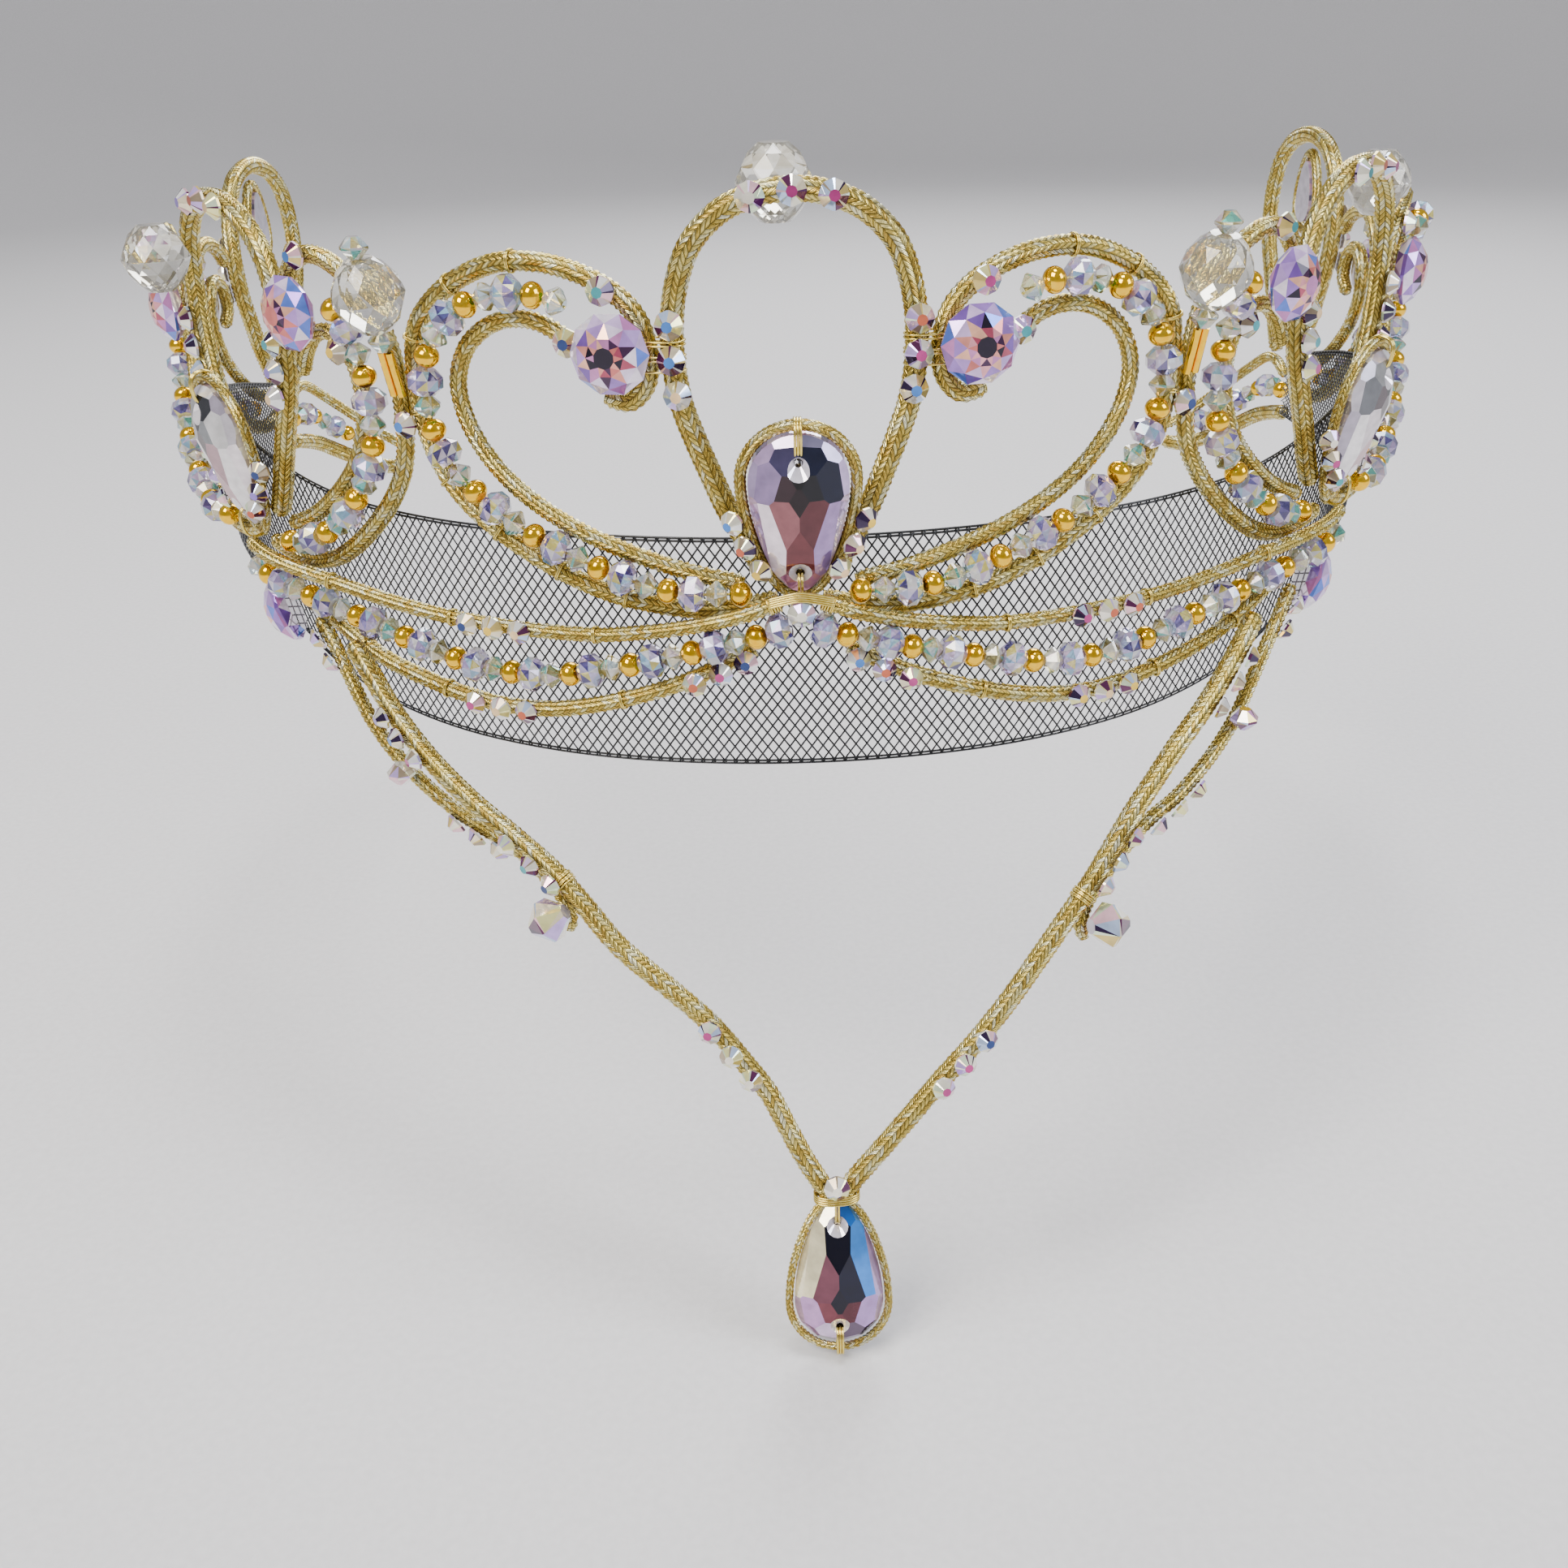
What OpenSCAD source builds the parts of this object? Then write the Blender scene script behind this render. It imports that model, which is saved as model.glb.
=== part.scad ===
// A stage headpiece: braid-covered wire bent to scrolls on a curved wall, with stones,
// bead strings, a net band and a V of cord that hangs a pear stone on the forehead.
// Wall points are [a, z, out]: a runs round the ring from its front centre, z is up,
// and out is the distance in front of the ring's own line.

/* [Ring] */
// Radius of the ring at the front
front_radius = 87; // [80:1:95]
// Radius of the ring at the sides
side_radius = 56; // [50:1:62]
// Depth from the front of the ring to the head's centre
front_depth = 60; // [55:1:65]
// Distance round the ring from the front peak to a side peak
side_at = 75; // [74:0.5:77]
// Distance round the ring from the front peak to a rear peak
rear_at = 151.5; // [150:0.5:155]

/* [Braided cords] */
// Thickness of the peaks' cord
peak_d = 2.5; // [2.2:0.1:2.6]
// Thickness of the scrolls' outer cord
outer_d = 2.1; // [1.8:0.1:2.2]
// Thickness of the scrolls' inner cord
inner_d = 1.9; // [1.6:0.1:2.0]
// Thickness of the cord round a pear stone
frame_d = 1.3; // [1.0:0.1:1.4]
// Thickness of the upper swag cord
swag_top_d = 1.7; // [1.4:0.1:1.8]
// Thickness of the lower swag cord
swag_low_d = 1.9; // [1.6:0.1:2.0]
// Thickness of the front cord of the V
vee_front_d = 2.4; // [2.0:0.1:2.5]
// Thickness of the rear cord of the V
vee_rear_d = 1.7; // [1.4:0.1:1.8]

/* [Stones and beads] */
// Width of a pear stone
pear_w = 10.5; // [10:0.1:11]
// Height of a pear stone
pear_h = 18; // [17:0.1:18.5]
// Thickness of a pear stone
pear_t = 4.2; // [3.5:0.1:4.5]
// Width of a round scroll stone
round_w = 8.4; // [8:0.1:8.6]
// Width of a flat-backed stone on the peaks and scrolls
flat_w = 3.1; // [2.8:0.1:3.2]
// Width of a flat-backed stone on the swags, the V and the pear stones' edges
small_w = 2.8; // [2.5:0.1:2.8]
// Width of the large clear beads
clear_w = 8; // [7.5:0.1:8.2]
// Width of the lilac rondelles
rondelle_w = 3.9; // [3.6:0.1:4]

/* [Net] */
// Thickness of the net band
net_t = 1; // [1:0.1:1.2]
// Height of the net band's lower edge at the front
net_low = -21; // [-23:0.5:-20]

/* [Hidden] */

// Gap between pieces that touch on the real thing
gap = 0.15;
front_turn = 63;
side_turn = 86;
rear_radius = 200;
front_len = front_radius * front_turn * PI / 180;
side_len = side_radius * (side_turn - front_turn) * PI / 180;
gold = "#d8b76a";
bead_gold = "#e3b443";
lilac = "#b9a6d8";
clear = "#eef3f2";
pearly = "#e6def0";
black = "#141416";
// A panel's width and the height of its upper part against the front panel's
far_width = 0.945;
side_top = 0.92;
rear_top = 0.835;
low_line = 12;

// Half of a peak, from its foot up the limb and over to the top: a, z, out
peak_half = [
    [3.9, 3, -0.2], [5.7, 6.4, -0.2], [7.6, 10, 0], [9.1, 13.6, 0], [10.6, 17.4, 0], [11.8, 21, 0],
    [12.4, 25, 0], [12.4, 29, 0], [11.7, 33, 0], [10.1, 36.8, 0], [7, 39.8, 0], [3.3, 41.3, 0],
    [0, 41.7, 0]];
// Front scroll's outer cord, from the pear stone's foot round to the limb, where it curls
// under the round stone: a, z, out
outer_run = [
    [2.4, -0.2, -0.3], [6.6, -1.1, 0], [11.2, -1.4, 0], [16, -0.9, 0], [20.8, 0.1, 0], [25.4, 1.8, 0],
    [30, 4.1, 0], [34.4, 6.8, 0], [38.2, 10, 0], [41, 14.2, 0], [42.2, 18.8, 0], [42.5, 23.4, 0],
    [41.6, 27.8, 0], [38.8, 31, 0], [35, 33.4, 0], [30.6, 34.9, 0], [26, 35, 0], [21.8, 34, 0],
    [18.2, 32.1, 0], [15.9, 29.6, 0], [15, 26.4, 0], [15.3, 23.2, 0], [17.2, 21.2, 0], [19.8, 21.7, 0]];
// Front scroll's inner cord, which ends behind the round stone: a, z, out
inner_run = [
    [6, 1.7, 0], [10.4, 2.5, 0], [14.4, 3.6, 0], [18.4, 4.9, 0], [22.6, 6.5, 0], [27, 8.7, 0],
    [31.2, 11.6, 0], [34.4, 15, 0], [36.4, 18.7, 0], [36.9, 22.6, 0], [35.2, 26.4, 0], [31.6, 28.9, 0],
    [27.6, 29.3, 0], [24.4, 28, 0], [22.8, 26.4, 0]];
// Thread of the front scroll's beads, between the two cords: a, z, out
string_run = [
    [5, 1.3, 2.5], [8.6, 1.3, 2.6], [12, 1.3, 2.6], [16, 2, 2.4], [20, 3.2, 2.2], [24.4, 4.9, 2],
    [28.8, 7, 2], [33, 9.7, 2], [36.8, 12.9, 2], [39.1, 16.8, 2], [39.8, 21, 2], [39.2, 25.2, 2],
    [36.9, 28.7, 2], [33.4, 31.1, 2], [29.2, 32.2, 2], [24.8, 31.9, 2], [22.6, 31, 2.2]];
front_stone = [18.3, 26.5];

// A side's near scroll stands upright, because it meets the front scroll: a from the side peak, z, out
near_outer = [
    [2.2, -0.6, 0.3], [6.6, -1.3, 0.2], [11, -1.5, 0], [15.4, -0.4, 0], [19.4, 1.8, 0], [23, 4.6, 0],
    [26.4, 8, 0], [29, 12, 0], [30, 16.4, 0], [30.1, 21, 0], [29.4, 25.6, 0], [27.4, 29.8, 0],
    [24, 33, 0], [20, 34.6, 0], [16.4, 34, 0], [14.2, 31.4, 0.2]];
near_inner = [
    [7, 2.4, 0], [11, 3.8, 0], [15, 6, 0], [18.6, 8.8, 0], [21.6, 12, 0], [23.6, 15.8, 0],
    [24.3, 20, 0], [23.4, 24, 0], [20.8, 26.4, 0], [17.8, 26, 0], [15.7, 23.8, 0], [14.6, 21.4, 0]];
near_string = [
    [9, 1.2, 2.5], [12.4, 1.6, 2.4], [16, 3, 2.2], [19.6, 5.2, 2], [22.8, 8.2, 2], [25.6, 11.8, 2],
    [27.1, 16, 2], [27.3, 20.4, 2], [26.6, 24.8, 2], [25, 28.2, 2], [23, 30.4, 2.2]];
near_stone = [16.9, 28.6];

// The rear scroll, which meets the side's far scroll: a from the rear peak towards the front, z, out
rear_outer = [
    [2.2, -0.6, 0.3], [6.6, -1.3, 0.2], [12, -1.2, 0], [17.5, 0.6, 0], [22.4, 3.4, 0], [27, 6.8, 0],
    [30.8, 10.8, 0], [33.2, 15.4, 0], [33.8, 20.2, 0], [32.2, 24.8, 0], [28.6, 27.8, 0],
    [24, 28.4, 0], [19.6, 27.1, 0], [16.2, 24.6, 0.2]];
rear_inner = [
    [7.2, 2.6, 0], [12, 4, 0], [16.8, 6.4, 0], [21.2, 9.4, 0], [25, 12.8, 0], [27.2, 16.8, 0],
    [26.8, 20.8, 0], [23.6, 23, 0], [20, 21.8, 0], [19, 18.4, 0], [21.4, 16.4, 0]];
rear_string = [
    [8, 1, 2.4], [12.4, 1.3, 2.2], [17, 3.4, 2], [21.6, 6.4, 2], [25.9, 9.8, 2], [29, 14, 2],
    [30.5, 18.4, 2], [29.7, 22.6, 2], [26.4, 25.5, 2], [22.4, 25.7, 2]];
rear_stone = [21.6, 19.8];

// Swag, from the front centre round to the side: a, z, out
swag_top_run = [
    [2.3, 0.8, 4], [5.4, -0.4, 4.2], [9.4, -1.7, 3.4], [13.4, -2.7, 2.8], [17.6, -3.4, 2.5], [22, -3.9, 2.4],
    [28, -4, 2.3], [34, -3.9, 2.3], [40, -3.7, 2.3], [46, -3.3, 2.3], [50.5, -2.8, 2.5], [55, -2.1, 3],
    [59.5, -1.4, 3.8], [63.5, -0.7, 4.6], [67, 0, 5], [70.2, 0.8, 4.8]];
swag_string_run = [
    [1.1, -2.3, 3.4], [4.6, -3.3, 3.3], [8.2, -4.3, 3.2], [12, -5.4, 3], [17, -6.8, 2.6], [22, -8, 2.4],
    [27, -9.1, 2.4], [32, -9.4, 2.4], [37, -9.1, 2.4], [42, -8.3, 2.4], [47, -7.2, 2.4], [52, -6.2, 2.5],
    [56, -5.5, 2.8], [60, -4.7, 3.3], [64, -3.9, 3.9], [68, -3, 4.3], [71.2, -2, 4.4]];
swag_low_run = [
    [5, -5.7, 1], [7.4, -6.8, 1.3], [10.6, -8.2, 1.8], [14, -9.6, 2.2], [18.5, -11.1, 2.4],
    [23.5, -12.5, 2.4], [28.5, -13.4, 2.4], [34, -13.6, 2.4], [39.5, -13, 2.4], [45, -11.9, 2.4],
    [50, -10.7, 2.4], [54, -9.5, 2.1], [58, -8.2, 1.7], [62, -7.4, 1], [66, -7.4, 0.3]];

// Tail behind a rear peak, which bends inwards to be pinned: a, z, out
tail_high_run = [
    [151.9, -0.4, 0], [155.4, 1.2, 0], [159.5, 1, 0], [163.5, -1.5, -1], [167.5, -5, -3],
    [171.5, -9.5, -6.5], [175, -13.5, -10.5]];
tail_low_run = [
    [150.6, -6.4, 0], [155, -7.4, 0], [160, -9, -0.6], [164.5, -11.6, -2.2], [169, -14.6, -5],
    [172.6, -16.4, -8], [175.4, -16.4, -10.8]];
tail_string_run = [
    [152, -3.4, 0.4], [156.5, -3.2, 0.2], [161, -4.6, -0.2], [165, -7.4, -1.8], [169, -10.5, -4.1],
    [171.6, -12.8, -6.7]];

// Front strand of the V: height, then x on the left and on the right
vee_rows = [
    [-8.2, -52.4, 53.6], [-11.2, -50.3, 51.6], [-14.4, -48.1, 49.2], [-17.6, -45.4, 46.4], [-20.8, -42, 43.2],
    [-24, -37.8, 40.4], [-27, -33.2, 37.8], [-30.2, -28.9, 35.4], [-34, -25.2, 32.6],
    [-38, -21.6, 29.2], [-42, -16.4, 25.8],
    [-46, -11.6, 22.4], [-50, -8.2, 18.6], [-54, -5.2, 14.4], [-58, -3.2, 10.6], [-62, -1.2, 6.8],
    [-65.4, 0.85, 3.75]];
// Rear strands of the V, which end in a hook beside the front strand: height, x
left_rear_rows = [
    [-7, -57.5], [-9.8, -55.5], [-13.3, -53.7], [-17.2, -51.5], [-20.4, -48.8], [-23.4, -45.2], [-26, -41],
    [-27.6, -37.4], [-28.8, -34.5], [-30.4, -31.9], [-32.3, -29.9], [-34.2, -28.3],
    [-36.2, -27.5], [-37.8, -27.7]];
right_rear_rows = [
    [-7, 59.6], [-9.8, 57.9], [-13.3, 55.9], [-17.2, 53.7], [-20.4, 51.8], [-23.4, 49.2], [-26, 46.2],
    [-27.8, 43.6], [-29, 41.1], [-30.6, 38.7], [-33, 36.2], [-35.4, 34], [-37.6, 32.4],
    [-39.8, 31.8], [-41.4, 32.2]];
vee_slope = 0.26;
vee_high = -8;
vee_out = 4.5;
vee_rear_out = -2;
pendant_at = [2.3, -76.1];
pendant_tilt = 14.5;

function unit(v) = v / norm(v);
function aim(turn) = [sin(turn), -cos(turn)];
front_mid = [0, front_radius - front_depth];
side_mid = front_mid + (front_radius - side_radius) * aim(front_turn);
rear_mid = side_mid + (side_radius - rear_radius) * aim(side_turn);
// Turn of the wall at a distance round the ring, and a point in front of it
function turn_at(a) =
    a <= front_len ? a / front_radius * 180 / PI
    : a <= front_len + side_len ? front_turn + (a - front_len) / side_radius * 180 / PI
    : side_turn + (a - front_len - side_len) / rear_radius * 180 / PI;
function ring_point(a, out) =
    a <= front_len ? front_mid + (front_radius + out) * aim(turn_at(a))
    : a <= front_len + side_len ? side_mid + (side_radius + out) * aim(turn_at(a))
    : rear_mid + (rear_radius + out) * aim(turn_at(a));
function on_wall(q) =
    let (p = ring_point(abs(q[0]), q[2]))
    [q[0] < 0 ? -p[0] : p[0], p[1], q[1]];
function walled(p) = [for (q = p) on_wall(q)];
// The V's sheet follows the front wall and slopes forward as it goes down
function on_sheet(x, z, out) =
    [x, -front_depth - vee_out - out + x * x / (2 * front_radius) + vee_slope * (z - vee_high), z];

// A smooth curve through the points, as n + 1 points
function spline(p, u) =
    let (n = len(p) - 1, i = min(floor(u), n - 1), t = u - i,
         a = p[max(i - 1, 0)], b = p[i], c = p[i + 1], d = p[min(i + 2, n)])
    0.5 * (2 * b + (c - a) * t + (2 * a - 5 * b + 4 * c - d) * t * t + (3 * b - a - 3 * c + d) * t * t * t);
function smooth(p, n) = [for (k = [0:n]) spline(p, k / n * (len(p) - 1))];

// A panel's half, taken forwards or backwards round the ring from its peak
function forward(p, at) = [for (q = p) [at - q[0], q[1], q[2]]];
function backward(p, at, wide) = [for (q = p) [at + wide * q[0], q[1], q[2]]];
function lifted(p, k) = [for (q = p) [q[0], q[1] > low_line ? low_line + (q[1] - low_line) * k : q[1], q[2]]];

// A cord with a round section, swept along its points
module cord(p, d, sides = 8) {
    n = len(p) - 1;
    rings = [for (i = [0:n])
        let (t = unit(p[min(i + 1, n)] - p[max(i - 1, 0)]),
             o = [p[i][0], p[i][1], 0],
             u = unit(o - (o * t) * t), v = cross(t, u))
        for (k = [0:sides - 1]) p[i] + d / 2 * (cos(k * 360 / sides) * u + sin(k * 360 / sides) * v)];
    faces = concat(
        [[for (k = [0:sides - 1]) k]],
        [[for (k = [sides - 1:-1:0]) n * sides + k]],
        [for (i = [0:n - 1]) for (k = [0:sides - 1])
            let (j = (k + 1) % sides)
            [i * sides + k, (i + 1) * sides + k, (i + 1) * sides + j, i * sides + j]]);
    polyhedron(rings, faces, convexity = 6);
}
module wall_cord(p, d, n, sides = 8) {
    color(gold) cord(walled(smooth(p, n)), d, sides);
}
module left() {
    mirror([1, 0, 0]) children();
}

// Turns what stands on +Z to stand along t
module along(p, t) {
    translate(p) rotate([0, acos(t[2] / norm(t)), atan2(t[1], t[0])]) children();
}
// Seats what stands on +Z on the wall, leaned by an angle away from the point that it surrounds
module seated(q, lean = 0, turn = 0) {
    translate(on_wall(q)) rotate([0, 0, turn_at(abs(q[0]))]) rotate([90, 0, 0])
        rotate([0, 0, turn]) rotate([0, lean, 0]) children();
}

// Beads, drilled for the thread
thread_d = 0.3;
bore_d = 0.8;
// Lengths of a gold bead, a bicone and a rondelle
bead_len = [2.2, 2.2, 2.6];
module rondelle() {
    w = rondelle_w / 2;
    h = bead_len[2] / 2;
    color(lilac) rotate_extrude($fn = 24)
        polygon([[bore_d / 2, -h], [w * 0.62, -h], [w, -h * 0.3],
                 [w, h * 0.3], [w * 0.62, h], [bore_d / 2, h]]);
}
module bicone() {
    w = 1.5;
    h = bead_len[1] / 2;
    color(pearly) rotate_extrude($fn = 24)
        polygon([[bore_d / 2, -h], [w * 0.45, -h], [w, 0], [w * 0.45, h], [bore_d / 2, h]]);
}
module gold_bead() {
    w = 1.35;
    h = bead_len[0] / 2;
    color(bead_gold) rotate_extrude($fn = 24)
        polygon([[bore_d / 2, -h], [w * 0.6, -h], [w, -h * 0.35],
                 [w, h * 0.35], [w * 0.6, h], [bore_d / 2, h]]);
}

// Gold bead, bicone and rondelle by turns along a thread
module bead_string(p, count) {
    steps = 120;
    q = walled(smooth(p, steps));
    s = [for (i = 0, s = 0; i <= steps; s = s + (i < steps ? norm(q[i + 1] - q[i]) : 0), i = i + 1) s];
    used = [for (i = 0, u = 0; i <= count; u = u + bead_len[i % 3], i = i + 1) u];
    space = (s[steps] - used[count]) / count;
    axis = [for (j = [0:2]) [for (i = [0:steps]) [s[i], q[i][j]]]];
    for (i = [0:count - 1]) {
        m = used[i] + (i + 0.5) * space + bead_len[i % 3] / 2;
        c = [for (j = [0:2]) lookup(m, axis[j])];
        e = [for (j = [0:2]) lookup(m + 0.7, axis[j]) - lookup(m - 0.7, axis[j])];
        along(c, e) {
            if (i % 3 == 0) gold_bead();
            if (i % 3 == 1) bicone();
            if (i % 3 == 2) rondelle();
        }
    }
}

// Cut stones, each with a flat back, a girdle and a table
module flat_stone(w = flat_w) {
    color(pearly) cylinder(d1 = w, d2 = w * 0.56, h = w * 0.42, $fn = 8);
}
module round_stone() {
    w = round_w;
    color(lilac) rotate_extrude($fn = 10)
        polygon([[0, 0], [w * 0.38, 0], [w / 2, 1.3], [w * 0.4, 2.7], [w * 0.26, 3.4], [0, 3.4]]);
}
module clear_bead() {
    w = clear_w;
    color(clear) rotate_extrude($fn = 10)
        polygon([[0, -w * 0.47], [w * 0.2, -w * 0.47], [w * 0.43, -w * 0.26], [w / 2, 0],
                 [w * 0.43, w * 0.26], [w * 0.2, w * 0.47], [0, w * 0.47]]);
}
// Pear outline with its point up, about the middle of its round end
pear_sides = 16;
pear_fullness = 0.8;
function pear_edge(w, h, more = 0) =
    [for (i = [0:pear_sides - 1])
        let (t = 360 * i / pear_sides, y = cos(t), r = w / 2 + more, tip = h - w / 2 + more)
        y > 0 ? [r * sin(t), tip * (pear_fullness * y + (1 - pear_fullness) * y * y * y)]
        : [r * sin(t), r * y]];
module pear_stone(w = pear_w, h = pear_h, t = pear_t) {
    e = pear_edge(w, h);
    n = pear_sides;
    // Scale of the outline, then its height in the thickness
    layers = [[0.84, 0], [1, 0.3], [0.86, 0.72], [0.5, 1]];
    pts = [for (l = layers) for (q = e) [q[0] * l[0], q[1] * l[0], l[1] * t]];
    faces = concat(
        [[for (k = [n - 1:-1:0]) k]],
        [[for (k = [0:n - 1]) (len(layers) - 1) * n + k]],
        [for (i = [0:len(layers) - 2]) for (k = [0:n - 1])
            [i * n + k, i * n + (k + 1) % n, (i + 1) * n + (k + 1) % n, (i + 1) * n + k]]);
    color(lilac) translate([0, w / 2 - h / 2, 0]) polyhedron(pts, faces);
}
// Closed cord round a pear stone, in the stone's own plane
module pear_frame(w = pear_w, h = pear_h, d = frame_d, high = 0.6, more = gap, sides = 6) {
    e = pear_edge(w, h, d / 2 + more);
    n = pear_sides;
    rings = [for (i = [0:n - 1])
        let (t = unit(e[(i + 1) % n] - e[(i + n - 1) % n]), u = [t[1], -t[0]])
        for (k = [0:sides - 1])
            let (r = d / 2 * cos(k * 360 / sides))
            [e[i][0] + r * u[0], e[i][1] + r * u[1], high + d / 2 * sin(k * 360 / sides)]];
    faces = [for (i = [0:n - 1]) for (k = [0:sides - 1])
        let (j = (i + 1) % n, m = (k + 1) % sides)
        [i * sides + k, i * sides + m, j * sides + m, j * sides + k]];
    color(gold) translate([0, w / 2 - h / 2, 0]) polyhedron(rings, faces, convexity = 6);
}

// Peaks
module peak(at, top, wide = 1) {
    h = lifted(peak_half, top);
    n = len(h) - 1;
    run = concat([for (q = h) [at - wide * q[0], q[1], q[2]]],
                 [for (i = [n - 1:-1:0]) [at + wide * h[i][0], h[i][1], h[i][2]]]);
    wall_cord(run, peak_d, 22);
}
module front_peak() {
    peak(0, 1);
}
module right_peak() {
    peak(side_at, side_top, far_width);
}
module right_rear_peak() {
    peak(rear_at, rear_top);
}

// Scrolls: an outer and an inner cord
module scroll(outer, inner, turns = 18) {
    wall_cord(outer, outer_d, 15);
    wall_cord(inner, inner_d, turns);
}
module front_right_scroll() {
    scroll(outer_run, inner_run);
}
module right_near_scroll() {
    scroll(forward(near_outer, side_at), forward(near_inner, side_at), 15);
}
module right_far_scroll() {
    scroll(lifted(backward(outer_run, side_at, far_width), side_top),
           lifted(backward(inner_run, side_at, far_width), side_top));
}
module right_rear_scroll() {
    scroll(forward(rear_outer, rear_at), forward(rear_inner, rear_at), 15);
}

// Bead strings: loose beads on the front scrolls, and a tube of the beads' width on the others
front_beads = 26;
tube_d = 3;
module front_right_string() {
    bead_string(string_run, front_beads);
}
module string_threads() {
    wall_cord(string_run, thread_d, 20, 6);
    left() wall_cord(string_run, thread_d, 20, 6);
}
module string_tube(p, n) {
    color(pearly) cord(walled(smooth(p, n)), tube_d);
}
module right_side_strings() {
    string_tube(forward(near_string, side_at), 9);
    string_tube(lifted(backward(string_run, side_at, far_width), side_top), 10);
}
module rear_string_pair() {
    string_tube(forward(rear_string, rear_at), 9);
    string_tube(tail_string_run, 4);
}
module rear_strings() {
    rear_string_pair();
    left() rear_string_pair();
}

// Pear stones in their frames
pear_z = 10.3;
pear_out = 2.1;
pear_tilt = 10;
// The panels' pear stones hang point down, with their round ends tilted forward
module point_down(at) {
    seated([at, pear_z, pear_out], turn = 180) rotate([-pear_tilt, 0, 0]) children();
}
module front_pear() {
    point_down(0) pear_stone();
}
module front_pear_frame() {
    point_down(0) pear_frame();
}
module right_pear() {
    point_down(side_at) pear_stone();
}
module right_pear_frame() {
    point_down(side_at) pear_frame();
}
module hung() {
    translate(on_sheet(pendant_at[0], pendant_at[1], 0)) rotate([90 - pendant_tilt, 0, 0])
        translate([0, 0, -pear_t / 2]) children();
}
module pendant_pear() {
    hung() pear_stone();
}
// The pendant's cord is thinner, and lies lower on its stone
pendant_frame_d = frame_d * 0.77;
module pendant_frame() {
    hung() pear_frame(d = pendant_frame_d, high = pear_t * 0.4);
}

// Round stones over the scrolls' curls
round_out = inner_d / 2 + 0.3;
module front_right_round_stone() {
    seated([front_stone[0], front_stone[1], round_out]) round_stone();
}
module right_near_round_stone() {
    seated([side_at - near_stone[0], near_stone[1], round_out]) round_stone();
}
module right_far_round_stone() {
    z = low_line + (front_stone[1] - low_line) * side_top;
    seated([side_at + far_width * front_stone[0], z, round_out]) round_stone();
}
module rear_round_stone() {
    seated([rear_at - rear_stone[0], rear_stone[1], round_out]) round_stone();
}
module rear_round_stones() {
    rear_round_stone();
    left() rear_round_stone();
}

// A round stone under each side's foot, beside the top of the V's rear strand, faces sideways and down
vee_stone = [67.8, -7.8, 1.9];
vee_stone_lean = 40;
vee_stone_turn = -30;
module vee_round_stone() {
    seated(vee_stone, vee_stone_lean, vee_stone_turn) round_stone();
}
module vee_round_stones() {
    vee_round_stone();
    left() vee_round_stone();
}

// Large clear beads at the peaks' tops: each is wired a little differently, as a, z, out
front_bead_at = [-1.7, 41.8, -5.4];
right_bead_at = [91, 35.8, -2.3];
left_bead_at = [82.6, 32.6, 5];
module front_top_bead() {
    translate(on_wall(front_bead_at)) clear_bead();
}
module right_top_bead() {
    translate(on_wall(right_bead_at)) clear_bead();
}
module left_top_bead() {
    left() translate(on_wall(left_bead_at)) clear_bead();
}

// Upright pin where two scrolls meet: two tubes, and at the front a gold bead, a clear bead and a bicone
near_join = 43.7;
far_join = 116.3;
pin_foot = [20.9, 1.75];
pin_head = [31, 4.1];
stick_d = 0.9;
stick_len = 4.9;
clear_half = clear_w * 0.47;
function pin_point(a, high) =
    let (p = pin_foot + high * unit(pin_head - pin_foot)) on_wall([a, p[0], p[1]]);
module on_pin(a, high) {
    along(pin_point(a, high), pin_point(a, high + 1) - pin_point(a, high)) children();
}
gold_high = stick_len + bead_len[0] / 2 + gap;
clear_high = gold_high + bead_len[0] / 2 + clear_half + gap;
bicone_high = clear_high + clear_half + bead_len[1] / 2 + gap;
module stick(a) {
    for (side = [-1, 1]) color(bead_gold)
        along(pin_point(a + side * (stick_d / 2 + 0.1), 0), pin_point(a, 1) - pin_point(a, 0))
            difference() {
                cylinder(d = stick_d, h = stick_len, $fn = 24);
                translate([0, 0, -1]) cylinder(d = 0.4, h = stick_len + 2, $fn = 24);
            }
}
module junction_sticks() {
    for (a = [near_join, far_join]) {
        stick(a);
        left() stick(a);
    }
}
module pin_beads(a) {
    on_pin(a, gold_high) gold_bead();
    on_pin(a, bicone_high) bicone();
}
module junction_beads() {
    pin_beads(near_join);
    left() pin_beads(near_join);
}
module right_near_bead() {
    on_pin(near_join, clear_high) clear_bead();
}

// Small flat stones: on a peak's limb, and on a scroll's outer and inner cords, as a, z
limb_stones = [[12.4, 29.2], [12.35, 25.7], [11.9, 22.2]];
low_limb_stones = [[12.35, 25.7], [11.9, 22.2], [11.1, 18.8]];
top_stones = [[-4, 41.2], [0, 41.7], [4, 41.2]];
scroll_stones = [[19.2, 32.5], [23.2, 27.3]];
join_stone_z = 17.6;
on_peak_out = peak_d / 2 + gap;
on_outer_out = outer_d / 2 + gap;
on_inner_out = inner_d / 2 + gap;
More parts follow.
